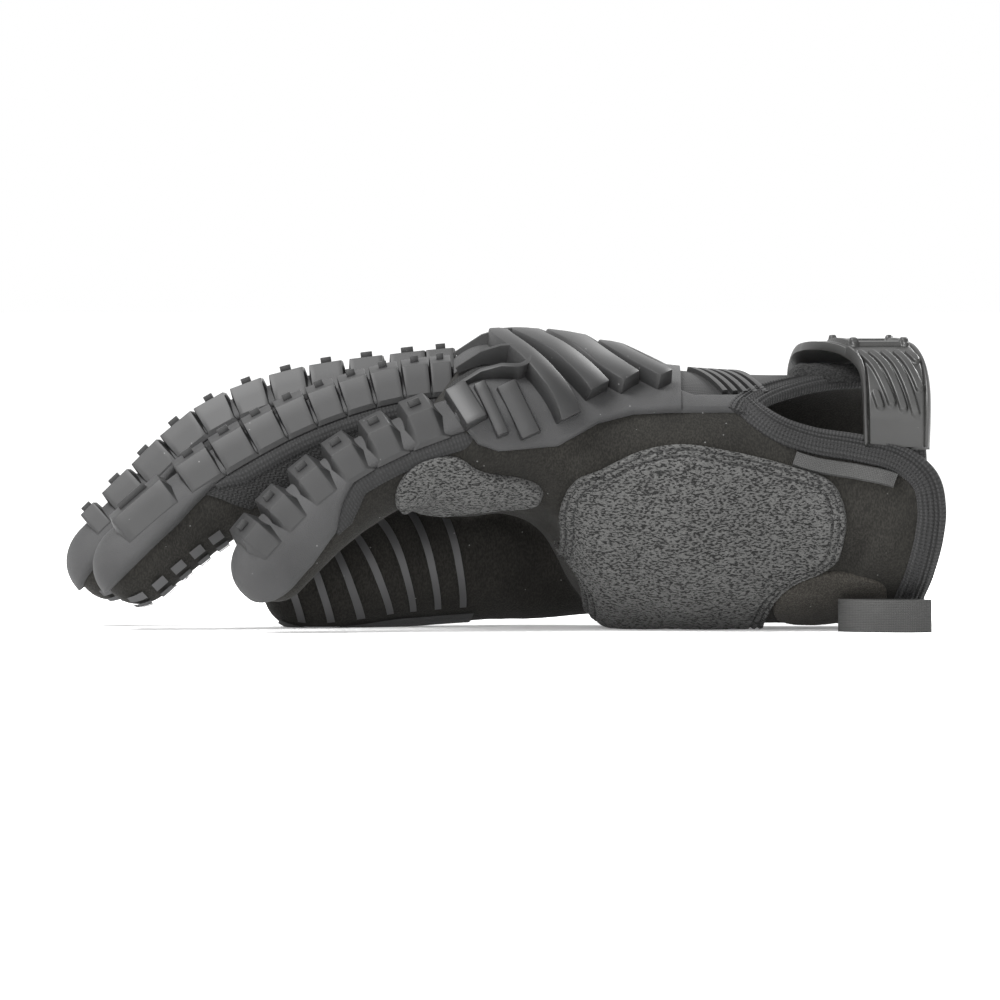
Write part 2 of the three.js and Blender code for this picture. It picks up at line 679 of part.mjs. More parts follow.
const padSkin = outerBody(PALM_REST).add(outerStall("thumb", PALM_REST));
const palmPadPrism = (push) => sidePrism(roundOutline(PALM_PAD_OUTLINE, 26), -0.8, 0.26, push);
nodes.palm_pad = biggest(padSkin.subtract(clear).intersect(palmPadPrism(0)));
const distalPrism = sidePrism(roundOutline(DISTAL_PAD_OUTLINE, 16), -0.8, 0.3);
nodes.distal_pad = biggest(outerBody(PALM_REST).subtract(clear).intersect(distalPrism));
const loopPatchPrism = sidePrism(LOOP_PATCH_OUTLINE, -0.8, 0.04).subtract(palmPadPrism(SEAM_GAP * 2));
nodes.loop_patch = biggest(padSkin.subtract(clear).subtract(clearBinding).intersect(loopPatchPrism));

// Moulded guard over the knuckles, with slots between the fingers and slanted ribs.
const KNUCKLE_OUTLINE = [
  { along: 0.462, up: 1.2 },
  { along: 0.456, up: 0.68 },
  { along: 0.474, up: 0.622 },
  { along: 0.497, up: 0.599 },
  { along: 0.564, up: 0.615 },
  { along: 0.609, up: 0.6875 },
  { along: 0.649, up: 0.717 },
  { along: 0.694, up: 0.722 },
  { along: 0.772, up: 0.722 },
  { along: 0.774, up: 0.785 },
  { along: 0.73, up: 0.8 },
  { along: 0.705, up: 0.83 },
  { along: 0.7, up: 1.2 },
];
const KNUCKLE_RIBS = [
  { top: 0.47, low: 0.475, foot: 0.845, topWidth: 0.6, footWidth: 0.6 },
  { top: 0.489, low: 0.573, foot: 0.7, topWidth: 0.78, footWidth: 0.72 },
  { top: 0.513, low: 0.608, foot: 0.765, topWidth: 1.05, footWidth: 1.0 },
  { top: 0.557, low: 0.646, foot: 0.805, topWidth: 2.3, footWidth: 1.2 },
  { top: 0.612, low: 0.685, foot: 0.81, topWidth: 1.3, footWidth: 0.95 },
];
const SIDE_RIBS = [
  { top: 0.4595, foot: 0.474, from: 0.8, to: 0.69, width: 0.62 },
  { top: 0.474, foot: 0.5, from: 0.8, to: 0.645, width: 0.66 },
  { top: 0.51, foot: 0.534, from: 0.8, to: 0.65, width: 0.7 },
];
const SLOT_END = 0.518;
const SLOT_WIDTH = 3.6;

function knuckleRib(rib) {
  const stations = [-1, -0.5, 0, 0.5, 1].map((place) => {
    const low = bodyAngle(rib.low, rib.foot, Math.sign(place) || 1);
    const angle = mix(Math.PI / 2, low, Math.abs(place));
    const lowRise = roundedSquare(low, BODY_SQUARE)[1];
    const rise = (roundedSquare(angle, BODY_SQUARE)[1] - lowRise) / (1 - lowRise);
    const spot = bodyAt(mix(rib.low, rib.top, rise), angle, GUARD_FACE);
    return { ...spot, width: RIB_WIDTH * mix(rib.footWidth, rib.topWidth, rise) };
  });
  return barSolid(stations, RIB_HEIGHT, GUARD_BASE / 2, 0.78);
}

function sideRib(rib, side) {
  const stations = [0, 1].map((t) => {
    const along = mix(rib.top, rib.foot, t);
    const station = bodyAt(along, bodyAngle(along, mix(rib.from, rib.to, t), side), GUARD_FACE);
    return { ...station, width: RIB_WIDTH * rib.width };
  });
  return barSolid(stations, RIB_HEIGHT * 0.7, GUARD_BASE / 2, 0.8);
}

function fingerSlot(index) {
  const lines = [FINGER_LINES[FINGERS[index].name], FINGER_LINES[FINGERS[index + 1].name]];
  const across = (k) => acrossY((lines[0][k].across + lines[1][k].across) / 2);
  const shape = new THREE.Shape();
  const half = SLOT_WIDTH / 2;
  shape.moveTo(alongX(0.35), across(1) - half);
  shape.lineTo(alongX(SLOT_END), across(0) - half);
  shape.absarc(alongX(SLOT_END), across(0), half, -Math.PI / 2, Math.PI / 2, false);
  shape.lineTo(alongX(0.35), across(1) + half);
  const options = { depth: HAND_HEIGHT * 2, bevelEnabled: false, curveSegments: 5 };
  const geometry = new THREE.ExtrudeGeometry(shape, options);
  return solidFromGeometry(geometry);
}

const knucklePrism = (push) => sidePrism(KNUCKLE_OUTLINE, -0.8, 0.8, push);
function knuckleGuard() {
  const base = outerBody(GUARD_FACE);
  const ribs = KNUCKLE_RIBS.map(knuckleRib);
  for (const side of [-1, 1]) {
    for (const rib of SIDE_RIBS) ribs.push(sideRib(rib, side));
  }
  const slots = [0, 1, 2].map(fingerSlot);
  const whole = joinAll([base, ...ribs]).intersect(knucklePrism(0)).subtract(clearBody.add(clearFingers));
  return biggest(whole.subtract(joinAll(slots)).subtract(clearBinding));
}
nodes.knuckle_guard = knuckleGuard();

// Section of a finger guard: degrees round the finger and how much of the tread stands there.
const GUARD_SECTION = [
  { around: 18, tread: 0.0 },
  { around: 45, tread: 1.0 },
  { around: 90, tread: 1.0 },
  { around: 135, tread: 1.0 },
  { around: 162, tread: 0.0 },
];

// Moulded guard of one finger: a saddle with treads across it and a thick cap over the tip.
function fingerGuard(index) {
  const finger = FINGERS[index];
  const stall = STALLS[finger.name];
  const pitch = (finger.cap - finger.guard) / finger.treads;
  const rings = [{ share: finger.guard - pitch, height: 0 }];
  for (let i = 0; i < finger.treads; i += 1) {
    const share = finger.guard + pitch * i;
    rings.push({ share, height: 0 }, { share: share + pitch * TREAD_FLANK, height: 1 });
    rings.push({ share: share + pitch * (1 - TREAD_FLANK), height: 1 });
  }
  const domeStart = 1 - (stall.depth * TIP_DOME) / stall.whole;
  rings.push({ share: finger.cap, height: 0 }, { share: finger.cap + pitch * TREAD_FLANK, height: CAP_SHARE });
  rings.push({ share: domeStart, height: CAP_SHARE });
  for (const slope of [35, 62]) {
    const share = mix(domeStart, 1, Math.sin(degrees(slope)));
    rings.push({ share, height: CAP_SHARE * Math.cos(degrees(slope)) });
  }
  const loops = rings.map((ring) => {
    const outer = GUARD_SECTION.map((row) => {
      const grow = GUARD_FACE + TREAD_HEIGHT * ring.height * row.tread;
      return stallAt(stall, ring.share, degrees(row.around), grow).point;
    });
    const inner = GUARD_SECTION.map((row) => {
      return stallAt(stall, ring.share, degrees(row.around), SEAM_GAP * 1.7).point;
    });
    return [...outer, ...inner.reverse()];
  });
  const whole = loftSolid(loops).subtract(clear).subtract(knucklePrism(SEAM_GAP));
  return biggest(whole.intersect(fingerStrip(index, SEAM_GAP / 2)));
}
FINGERS.forEach((finger, i) => {
  nodes[`finger_guard_${finger.name}`] = fingerGuard(i);
});

// Low raised chevrons on the back of the hand, on a thin base.
function backRelief() {
  const outline = [
    { along: 0.716, up: 1.1 },
    { along: 0.716, up: 0.8 },
    { along: 0.815, up: 0.8 },
    { along: 0.815, up: 1.1 },
  ];
  const base = outerBody(SEAM_GAP + RELIEF_WALL).intersect(sidePrism(outline, -0.26, 0.3));
  const lines = [0, 1, 2].map((k) => {
    const stations = [-1, 0, 1].map((side) => {
      const along = mix(0.728, 0.768, Math.abs(side)) + k * RELIEF_PITCH;
      const spot = bodyAt(along, degrees(90 - side * RELIEF_ANGLE), SEAM_GAP + RELIEF_WALL);
      return { ...spot, width: RELIEF_LINE_WIDTH };
    });
    return barSolid(stations, RELIEF_WALL, RELIEF_WALL / 2, 0.7);
  });
  const whole = joinAll([base, ...lines]).subtract(clearBody).subtract(knucklePrism(SEAM_GAP));
  return biggest(whole.subtract(clearBinding));
}
nodes.back_relief = backRelief();

// Loop pile pad on the back of the wrist.
const CLOSURE_PAD_OUTLINE = [
  { along: 0.824, up: 1.1 },
  { along: 0.824, up: 0.5 },
  { along: 0.94, up: 0.5 },
  { along: 0.94, up: 1.1 },
];
const closurePadSkin = outerBody(SEAM_GAP + CLOSURE_PAD_WALL).subtract(clearBody);
const closurePadPrism = sidePrism(CLOSURE_PAD_OUTLINE, -0.2, 0.34).subtract(clearBinding);
nodes.closure_pad = biggest(closurePadSkin.intersect(closurePadPrism));

// Wrist strap: rows round the wrist, its two edges along the glove, how far it stands off.
const STRAP_ROWS = [
  { turn: 0.0, around: 158, front: 0.908, back: 0.982, pad: 0.0, lift: 0.0 },
  { turn: 0.12, around: 146, front: 0.908, back: 0.984, pad: 0.0, lift: 0.35 },
  { turn: 0.24, around: 134, front: 0.907, back: 0.984, pad: 0.0, lift: 0.8 },
  { turn: 0.36, around: 122, front: 0.902, back: 0.98, pad: 0.0, lift: 1.05 },
  { turn: 0.48, around: 110, front: 0.882, back: 0.971, pad: 0.0, lift: 1.15 },
  { turn: 0.6, around: 98, front: 0.853, back: 0.961, pad: 0.5, lift: 0.85 },
  { turn: 0.7, around: 86, front: 0.835, back: 0.954, pad: 1.0, lift: 0.45 },
  { turn: 0.8, around: 72, front: 0.828, back: 0.948, pad: 1.0, lift: 0.2 },
  { turn: 0.9, around: 56, front: 0.826, back: 0.944, pad: 1.0, lift: 0.03 },
  { turn: 1.0, around: 42, front: 0.828, back: 0.942, pad: 1.0, lift: 0.0 },
];
// Bars on the strap: from and to, as shares of its turn and of its width.
const STRAP_BARS = [
  { fromTurn: 0.41, fromSide: 0.12, toTurn: 0.16, toSide: 0.43 },
  { fromTurn: 0.41, fromSide: 0.29, toTurn: 0.14, toSide: 0.6 },
  { fromTurn: 0.41, fromSide: 0.46, toTurn: 0.12, toSide: 0.78 },
  { fromTurn: 0.41, fromSide: 0.63, toTurn: 0.22, toSide: 0.84 },
  { fromTurn: 0.41, fromSide: 0.8, toTurn: 0.36, toSide: 0.86 },
  { fromTurn: 0.2, fromSide: 0.2, toTurn: 0.15, toSide: 0.26 },
  { fromTurn: 0.5, fromSide: 0.22, toTurn: 0.5, toSide: 0.86 },
  { fromTurn: 0.63, fromSide: 0.3, toTurn: 0.63, toSide: 0.86 },
  { fromTurn: 0.49, fromSide: 0.24, toTurn: 0.64, toSide: 0.32 },
  { fromTurn: 0.49, fromSide: 0.84, toTurn: 0.64, toSide: 0.84 },
];

function strapAt(turn, side, lift) {
  const read = (column) => readTable(STRAP_ROWS, "turn", column, turn);
  const carrier = mix(BINDING_OUTER, CLOSURE_PAD_WALL + SEAM_GAP, read("pad")) + SEAM_GAP;
  const along = mix(read("front"), read("back"), side);
  return bodyAt(along, degrees(read("around")), carrier + read("lift") * STRAP_LIFT + lift);
}

function strapSolid() {
  const loops = [];
  for (let i = 0; i <= STRAP_STEPS; i += 1) {
    const turn = i / STRAP_STEPS;
    const inner = [0, 1].map((side) => strapAt(turn, side, 0).point);
    const outer = [1, 0].map((side) => strapAt(turn, side, STRAP_WALL).point);
    loops.push([...inner, ...outer]);
  }
  const bars = STRAP_BARS.map((bar) => {
    const stations = [0, 1].map((t) => {
      const spot = strapAt(mix(bar.fromTurn, bar.toTurn, t), mix(bar.fromSide, bar.toSide, t), STRAP_WALL);
      return { ...spot, width: STRAP_RIB_WIDTH };
    });
    return barSolid(stations, STRAP_RIB_HEIGHT, STRAP_RIB_HEIGHT, 0.7);
  });
  return biggest(joinAll([loftSolid(loops), ...bars]).subtract(clearBinding));
}
nodes.closure_strap = strapSolid();

// Bare woven tab, sewn along the palm side of the notch.
function labelTab() {
  const below = (BINDING_WIDTH / 2 + LABEL_WIDTH / 2 + SEAM_GAP * 2) / HAND_HEIGHT;
  const stations = [0, 0.34, 0.67, 1].map((t) => {
    const along = mix(0.833, 0.944, t);
    const up = readTable(BINDING_PALM, "along", "up", along - 0.004) - below;
    return { ...bodyAt(along, bodyAngle(along, up, -1), SEAM_GAP), width: LABEL_WIDTH };
  });
  const bar = barSolid(stations, LABEL_WALL, 0, 0.9);
  return biggest(bar.subtract(clear).subtract(clearBinding).subtract(palmPadPrism(SEAM_GAP)));
}
nodes.label_tab = labelTab();

// Webbing loop at the heel, standing on its edge beside the cuff's lower corner.
function pullLoop() {
  const rows = [
    { along: 0.885, across: -0.268 },
    { along: 0.935, across: -0.275 },
    { along: 0.975, across: -0.305 },
    { along: 0.984, across: -0.345 },
    { along: 0.968, across: -0.368 },
    { along: 0.93, across: -0.355 },
    { along: 0.893, across: -0.31 },
  ];
  const points = rows.map((row) => new THREE.Vector3(alongX(row.along), acrossY(row.across), 0));
  const curve = new THREE.CatmullRomCurve3(points, true, "centripetal");
  const steps = 20;
  const up = new THREE.Vector3(0, 0, LOOP_WIDTH);
  const loops = [];
  for (let i = 0; i < steps; i += 1) {
    const spot = curve.getPointAt(i / steps);
    const way = curve.getTangentAt(i / steps);
    const aside = new THREE.Vector3(way.y, -way.x, 0).setLength(LOOP_WALL / 2);
    const outer = spot.clone().add(aside);
    const inner = spot.clone().sub(aside);
    loops.push([inner, outer, outer.clone().add(up), inner.clone().add(up)]);
  }
  return ringSolid(loops);
}
nodes.pull_loop = pullLoop();

const FINISHES = [
  { match: /^(palm_pad|distal_pad)/, colour: 0x555553, roughness: 0.85 },
  { match: /^(palm_panel|thumb_back|loop_patch)/, colour: 0x363632, roughness: 0.95 },
  { match: /^(back_panel|gusset)/, colour: 0x1c1c1c, roughness: 0.9 },
  { match: /^(knuckle|finger|back_relief)/, colour: 0x2a2a2a, roughness: 0.45 },
  { match: /^closure_strap/, colour: 0x353534, roughness: 0.5 },
  { match: /^(cuff_binding|closure_pad)/, colour: 0x242424, roughness: 0.9 },
  { match: /^(label_tab|pull_loop)/, colour: 0x6c6c6a, roughness: 0.8 },
];

// A named mesh with its own material from a solid.
function meshFrom(name, solid) {
  const { vertProperties, triVerts } = solid.getMesh();
  const geometry = new THREE.BufferGeometry();
  geometry.setAttribute("position", new THREE.BufferAttribute(new Float32Array(vertProperties), 3));
  geometry.setIndex(new THREE.BufferAttribute(new Uint32Array(triVerts), 1));
  const { colour, roughness } = FINISHES.find((row) => row.match.test(name));
  const material = new THREE.MeshStandardMaterial({ color: colour, roughness, metalness: 0 });
  const mesh = new THREE.Mesh(geometry, material);
  mesh.name = name;
  return mesh;
}

const glove = new THREE.Group();
for (const [name, solid] of Object.entries(nodes)) glove.add(meshFrom(name, solid));
const box = new THREE.Box3().setFromObject(glove);
const middle = box.getCenter(new THREE.Vector3());
glove.position.set(-middle.x, -middle.y, -box.min.z);

export default glove;
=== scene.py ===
import logging
import math
from dataclasses import dataclass, field
from enum import Enum
from typing import Callable

import bpy
import numpy as np
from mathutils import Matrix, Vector
from mathutils.bvhtree import BVHTree


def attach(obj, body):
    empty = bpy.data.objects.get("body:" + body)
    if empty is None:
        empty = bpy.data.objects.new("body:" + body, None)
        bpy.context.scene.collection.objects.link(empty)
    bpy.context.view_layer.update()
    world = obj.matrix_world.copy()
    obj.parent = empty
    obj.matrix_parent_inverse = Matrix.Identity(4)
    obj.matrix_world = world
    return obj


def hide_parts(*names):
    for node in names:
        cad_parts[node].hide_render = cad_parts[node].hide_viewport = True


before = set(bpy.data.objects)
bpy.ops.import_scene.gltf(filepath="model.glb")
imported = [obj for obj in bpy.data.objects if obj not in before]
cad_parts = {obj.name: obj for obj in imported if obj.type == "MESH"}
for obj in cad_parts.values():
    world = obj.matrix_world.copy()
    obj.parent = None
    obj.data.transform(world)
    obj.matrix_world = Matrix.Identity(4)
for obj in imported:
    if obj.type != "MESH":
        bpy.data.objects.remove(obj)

Array = np.ndarray
MM = 0.001
CENTRE_SHIFT = 0.45 * MM
HAND_LENGTH = 234 * MM
HAND_WIDTH = 94 * MM
HAND_HEIGHT = 80 * MM
PATCH_WALL = 1.4 * MM
SEAM_GAP = 0.35 * MM
PALM_REST = PATCH_WALL + SEAM_GAP
GUARD_FACE = 1.85 * MM
RIB_HEIGHT = 4.2 * MM
RIB_WIDTH = 5.6 * MM
TREAD_HEIGHT = 3.8 * MM
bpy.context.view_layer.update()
log = logging.getLogger("glove")


def smooth(t: Array) -> Array:
    """A soft step from 0 to 1."""
    held = np.clip(t, 0, 1)
    return held * held * (3 - 2 * held)


def mix(a: Array, b: Array, t: Array) -> Array:
    """The value between a and b at share t."""
    return a + (b - a) * t


def unit(vectors: Array) -> Array:
    """The vectors at length 1."""
    return vectors / np.maximum(np.linalg.norm(vectors, axis=-1, keepdims=True), 1e-12)


def rounded(angle: Array, power: float) -> tuple[Array, Array]:
    """The two coordinates of a rounded square of half size 1 at an angle.

    Args:
        angle: angles in radians.
        power: 2 for a circle, more for a squarer shape.

    Returns:
        The sideways and the upright coordinate.
    """
    c, s = np.cos(angle), np.sin(angle)
    return np.sign(c) * np.abs(c) ** (2 / power), np.sign(s) * np.abs(s) ** (2 / power)


def spline(rows: Array, per_span: int, closed: bool = False) -> Array:
    """A smooth curve through rows of points.

    Args:
        rows: the points, one a row.
        per_span: how many steps each span is cut into.
        closed: whether the last point joins the first.

    Returns:
        The points of the curve.
    """
    points = np.asarray(rows, float)
    if closed:
        points = np.vstack([points[-1:], points, points[:2]])
    else:
        points = np.vstack([2 * points[0] - points[1], points, 2 * points[-1] - points[-2]])
    steps = np.linspace(0, 1, per_span, endpoint=False)[:, None]
    parts = []
    for i in range(len(points) - 3):
        a, b, c, d = points[i:i + 4]
        ta, tb, tc = (max(np.linalg.norm(q - p), 1e-9) ** 0.5 for p, q in ((a, b), (b, c), (c, d)))
        leave = ((b - a) / ta - (c - a) / (ta + tb) + (c - b) / tb) * tb
        reach = ((c - b) / tb - (d - b) / (tb + tc) + (d - c) / tc) * tb
        parts.append(b + leave * steps + (3 * (c - b) - 2 * leave - reach) * steps ** 2
                     + (2 * (b - c) + leave + reach) * steps ** 3)
    if not closed:
        parts.append(points[-2:-1])
    return np.vstack(parts)


def evenly(path: Array, count: int, closed: bool = False) -> Array:
    """Points at equal distances along a path.

    Args:
        path: the path's points.
        count: how many points are wanted.
        closed: whether the path runs back to its start.

    Returns:
        The points; of a closed path the last one isn't the first again.
    """
    line = np.vstack([path, path[:1]]) if closed else path
    far = np.concatenate([[0], np.cumsum(np.linalg.norm(np.diff(line, axis=0), axis=1))])
    places = np.linspace(0, far[-1], count + 1 if closed else count)[:count]
    return np.stack([np.interp(places, far, line[:, k]) for k in range(line.shape[1])], -1)


@dataclass(frozen=True)
class Table:
    """Rows of numbers that are read smoothly by their first column."""

    rows: tuple[tuple[float, ...], ...]

    def read(self, place: Array, column: int) -> Array:
        """One column's value at a place of the first column, held at its ends.

        Args:
            place: places in the first column.
            column: the column to read.

        Returns:
            The column's values.
        """
        data = np.array(self.rows, float)
        keys, values = data[:, 0], data[:, column]
        slopes = np.empty_like(values)
        slopes[1:-1] = (values[2:] - values[:-2]) / (keys[2:] - keys[:-2])
        slopes[0] = (values[1] - values[0]) / (keys[1] - keys[0])
        slopes[-1] = (values[-1] - values[-2]) / (keys[-1] - keys[-2])
        held = np.clip(place, keys[0], keys[-1])
        i = np.clip(np.searchsorted(keys, held, side="right") - 1, 0, len(keys) - 2)
        span = keys[i + 1] - keys[i]
        t = (held - keys[i]) / span
        return ((2 * t ** 3 - 3 * t ** 2 + 1) * values[i] + (3 * t ** 2 - 2 * t ** 3) * values[i + 1]
                + (t ** 3 - 2 * t ** 2 + t) * span * slopes[i] + (t ** 3 - t ** 2) * span * slopes[i + 1])

    def line(self, place: Array, column: int = 1) -> Array:
        """One column's value on straight lines between the rows."""
        data = np.array(self.rows, float)
        return np.interp(place, data[:, 0], data[:, column])


class Grain:
    """Smooth noise in space that is the same each run."""

    def __init__(self, seed: int) -> None:
        """Args: seed: picks the pattern."""
        self.values = np.random.default_rng(seed).random(4096) * 2 - 1

    def at(self, points: Array, size: float) -> Array:
        """The noise at points, from -1 to 1.

        Args:
            points: places, in the last axis.
            size: the distance over which it changes.

        Returns:
            One number for each point.
        """
        place = np.asarray(points) / size
        cell = np.floor(place).astype(np.int64)
        part = place - cell
        part = part * part * (3 - 2 * part)
        total = 0
        for dx in (0, 1):
            for dy in (0, 1):
                for dz in (0, 1):
                    key = ((cell[..., 0] + dx) * 73856093) ^ ((cell[..., 1] + dy) * 19349663)
                    key = (key ^ ((cell[..., 2] + dz) * 83492791)) & 4095
                    share = (part[..., 0] if dx else 1 - part[..., 0])
                    share = share * (part[..., 1] if dy else 1 - part[..., 1])
                    share = share * (part[..., 2] if dz else 1 - part[..., 2])
                    total = total + share * self.values[key]
        return total


@dataclass(frozen=True)
class HandBody:
    """The body of the hand: sections from the finger roots to the cuff, and its dents.

    Angles run round a section: 0 is the thumb side, 90 degrees the back, 180 the little-finger
    side. Places along and up are shares of the hand's length and height.
    """

    square: float = 2.35
    # Columns: along, top, bottom, half width on the near and the far side, taper, lean
    sections: Table = Table((
        (0.389, 0.5, 0.43, 0.36, 0.34, 0.0, 0.0),
        (0.402, 0.62, 0.4, 0.42, 0.4, 0.02, 0.0),
        (0.43, 0.8, 0.382, 0.45, 0.44, 0.04, 0.0),
        (0.465, 0.905, 0.378, 0.472, 0.465, 0.06, 0.0),
        (0.505, 0.92, 0.385, 0.485, 0.475, 0.1, 0.01),
        (0.548, 0.917, 0.31, 0.49, 0.48, 0.18, 0.03),
        (0.58, 0.905, 0.15, 0.49, 0.48, 0.26, 0.05),
        (0.615, 0.88, 0.035, 0.49, 0.48, 0.3, 0.05),
        (0.66, 0.862, 0.008, 0.485, 0.465, 0.32, 0.04),
        (0.72, 0.844, 0.006, 0.465, 0.44, 0.28, 0.02),
        (0.79, 0.834, 0.01, 0.425, 0.415, 0.2, 0.01),
        (0.87, 0.834, 0.016, 0.4, 0.4, 0.14, 0.0),
        (0.94, 0.834, 0.03, 0.405, 0.41, 0.1, 0.0),
        (1.06, 0.836, 0.035, 0.42, 0.42, 0.08, 0.0)))
    # Columns: along, degrees round, reach, spread in degrees, swell as a share of the width
    dents: tuple[tuple[float, ...], ...] = (
        (0.552, 205, 0.034, 36, -0.022), (0.468, 215, 0.05, 42, 0.018), (0.7, 205, 0.09, 45, 0.028),
        (0.605, 222, 0.025, 25, 0.012), (0.86, 215, 0.05, 30, -0.02))

    def skin(self, along: Array, angle: Array) -> Array:
        """Points of the body's own skin.

        Args:
            along: places along the hand.
            angle: angles in radians.

        Returns:
            The points, in metres.
        """
        along, angle = np.broadcast_arrays(np.asarray(along, float), np.asarray(angle, float))
        swell = np.zeros(along.shape)
        for place, around, reach, spread, push in self.dents:
            turn = angle - math.radians(around)
            turn = np.arctan2(np.sin(turn), np.cos(turn)) / math.radians(spread)
            swell += push * HAND_WIDTH * np.exp(-((along - place) / reach) ** 2 - turn ** 2)
        ey, ez = rounded(angle, self.square)
        top, bottom, near, far, taper, lean = (self.sections.read(along, k) for k in range(1, 7))
        sink = (1 - ez) / 2
        y = HAND_WIDTH * (ey * np.where(ey > 0, far, near) * (1 - taper * sink) + lean * sink)
        z = HAND_HEIGHT * mix(bottom, top, (1 + ez) / 2)
        x = (along - 0.5) * HAND_LENGTH + CENTRE_SHIFT
        return np.stack([x, y + np.cos(angle) * swell, z + np.sin(angle) * swell], -1)

    def at(self, along: Array, angle: Array, grow: Array = 0.0) -> tuple[Array, Array]:
        """Points of the skin pushed out by grow, flat where it lies on the bench.

        Args:
            along: places along the hand.
            angle: angles in radians.
            grow: metres outwards.

        Returns:
            The points and their normals.
        """
        along, angle, grow = np.broadcast_arrays(
            np.asarray(along, float), np.asarray(angle, float), np.asarray(grow, float))
        step = 1e-3
        way = self.skin(along + step, angle) - self.skin(along - step, angle)
        turn = self.skin(along, angle + step) - self.skin(along, angle - step)
        normal = unit(np.cross(way, turn))
        radial = np.cos(angle) * normal[..., 1] + np.sin(angle) * normal[..., 2]
        normal = normal * np.where(radial < 0, -1.0, 1.0)[..., None]
        point = self.skin(along, angle) + normal * grow[..., None]
        point[..., 2] = np.maximum(point[..., 2], PALM_REST - grow)
        return point, normal

    def angle_at(self, along: Array, up: Array, side: int) -> Array:
        """The angle at which a side of the body has a height.

        Args:
            along: places along the hand.
            up: heights, as shares.
            side: -1 for the little-finger side, 1 for the thumb side.

        Returns:
            The angles in radians.
        """
        along, up = np.broadcast_arrays(np.asarray(along, float), np.asarray(up, float))
        high = np.full(along.shape, math.pi / 2)
        low = np.full(along.shape, math.pi * 1.5 if side < 0 else -math.pi / 2)
        for _ in range(26):
            middle = (high + low) / 2
            above = self.skin(along, middle)[..., 2] > up * HAND_HEIGHT
            high, low = np.where(above, middle, high), np.where(above, low, middle)
        return (high + low) / 2

    def angle_over(self, along: Array, across: Array) -> Array:
        """The angle on the back of the hand at which the skin has a place across.

        Args:
            along: places along the hand.
            across: metres across, positive on the thumb side.

        Returns:
            The angles in radians.
        """
        along, across = np.broadcast_arrays(np.asarray(along, float), np.asarray(across, float))
        low, high = np.zeros(along.shape), np.full(along.shape, math.pi)
        for _ in range(26):
            middle = (high + low) / 2
            beyond = self.skin(along, middle)[..., 1] > across
            low, high = np.where(beyond, middle, low), np.where(beyond, high, middle)
        return (high + low) / 2


@dataclass(frozen=True)
class Digit:
    """A finger or the thumb: a rounded tube along a line from its root to its tip.

    Its angles are 0 on the thumb side, 90 degrees on its back and 180 on the little-finger side.
    """

    name: str
    line: tuple[tuple[float, float, float], ...]
    width: float
    depth: float
    roll: float
    profile: Table
    square: float = 2.2
    dome: float = 0.45

    def route(self) -> Array:
        """Close points of the middle line, at equal distances."""
        rows = np.array(self.line) * (HAND_LENGTH, HAND_WIDTH, HAND_HEIGHT)
        rows[:, 0] += CENTRE_SHIFT - 0.5 * HAND_LENGTH
        return evenly(spline(rows, 60), 400)

    @property
    def whole(self) -> float:
        """The length of the middle line."""
        return float(np.linalg.norm(np.diff(self.route(), axis=0), axis=1).sum())

    def at(self, share: Array, angle: Array, grow: Array = 0.0) -> tuple[Array, Array]:
        """Points of the skin pushed out by grow.

        Args:
            share: places on the line, 0 at the root and 1 at the tip.
            angle: angles in radians.
            grow: metres outwards.

        Returns:
            The points and their normals.
        """
        share, angle, grow = np.broadcast_arrays(
            np.asarray(share, float), np.asarray(angle, float), np.asarray(grow, float))
        route = self.route()
        whole = self.whole
        ways = unit(np.gradient(route, axis=0))
        held = np.clip(share, 0, 1)
        places = np.linspace(0, 1, len(route))
        point = np.stack([np.interp(held, places, route[:, k]) for k in range(3)], -1)
        forward = unit(np.stack([np.interp(held, places, ways[:, k]) for k in range(3)], -1))
        point = point + forward * ((share - held) * whole)[..., None]
        level = unit(np.cross(forward, (0.0, 0.0, 1.0)))
        upright = unit(np.cross(level, forward))
        c, s = math.cos(math.radians(self.roll)), math.sin(math.radians(self.roll))
        up = upright * c - level * s
        side = level * c + upright * s
        start = 1 - self.depth * self.dome / whole
        slope = np.arcsin(np.clip((share - start) / (1 - start), 0, 1))
        squeeze = np.cos(slope) ** 0.85
        ex, ez = rounded(angle, self.square)
        wide = (self.width / 2 * self.profile.read(held, 1) + grow) * squeeze * ex
        deep = (self.depth / 2 * self.profile.read(held, 2) + grow) * squeeze * ez
        point = point + side * wide[..., None] + up * deep[..., None]
        point = point + forward * (grow * np.sin(slope))[..., None]
        floor = PALM_REST * smooth(1.6 - 3 * share) - grow
        point[..., 2] = np.maximum(point[..., 2], floor)
        normal = side * (np.cos(angle) * np.cos(slope))[..., None]
        normal = normal + up * (np.sin(angle) * np.cos(slope))[..., None]
        return point, unit(normal + forward * np.sin(slope)[..., None])

    def share_at(self, along: float, angle: float, grow: float) -> float:
        """The share of the line at which a point of the skin has a place along the hand.

        Args:
            along: the place, as a share of the hand's length.
            angle: the point's angle in radians.
            grow: the point's height above the skin.

        Returns:
            The share of the digit's line.
        """
        shares = np.linspace(0, 1, 300)
        x = self.at(shares, angle, grow)[0][:, 0]
        wanted = (along - 0.5) * HAND_LENGTH + CENTRE_SHIFT
        return float(np.interp(-wanted, -x, shares))


FINGER_PROFILE = Table(((0.0, 1.0, 0.94), (0.35, 0.99, 0.94), (0.65, 0.94, 0.95), (1.0, 0.86, 0.9)))
THUMB_PROFILE = Table((
    (0.0, 1.15, 0.95), (0.35, 1.0, 1.0), (0.62, 0.9, 0.98), (0.8, 0.8, 0.83), (1.0, 0.72, 0.66)))
HAND = HandBody()


def finger(name: str, size: float, roll: float, line: tuple[tuple[float, float, float], ...]) -> Digit:
    """A finger at a share of the full finger's width and depth."""
    return Digit(name, line, 22 * MM * size, 22.5 * MM * size, roll, FINGER_PROFILE)


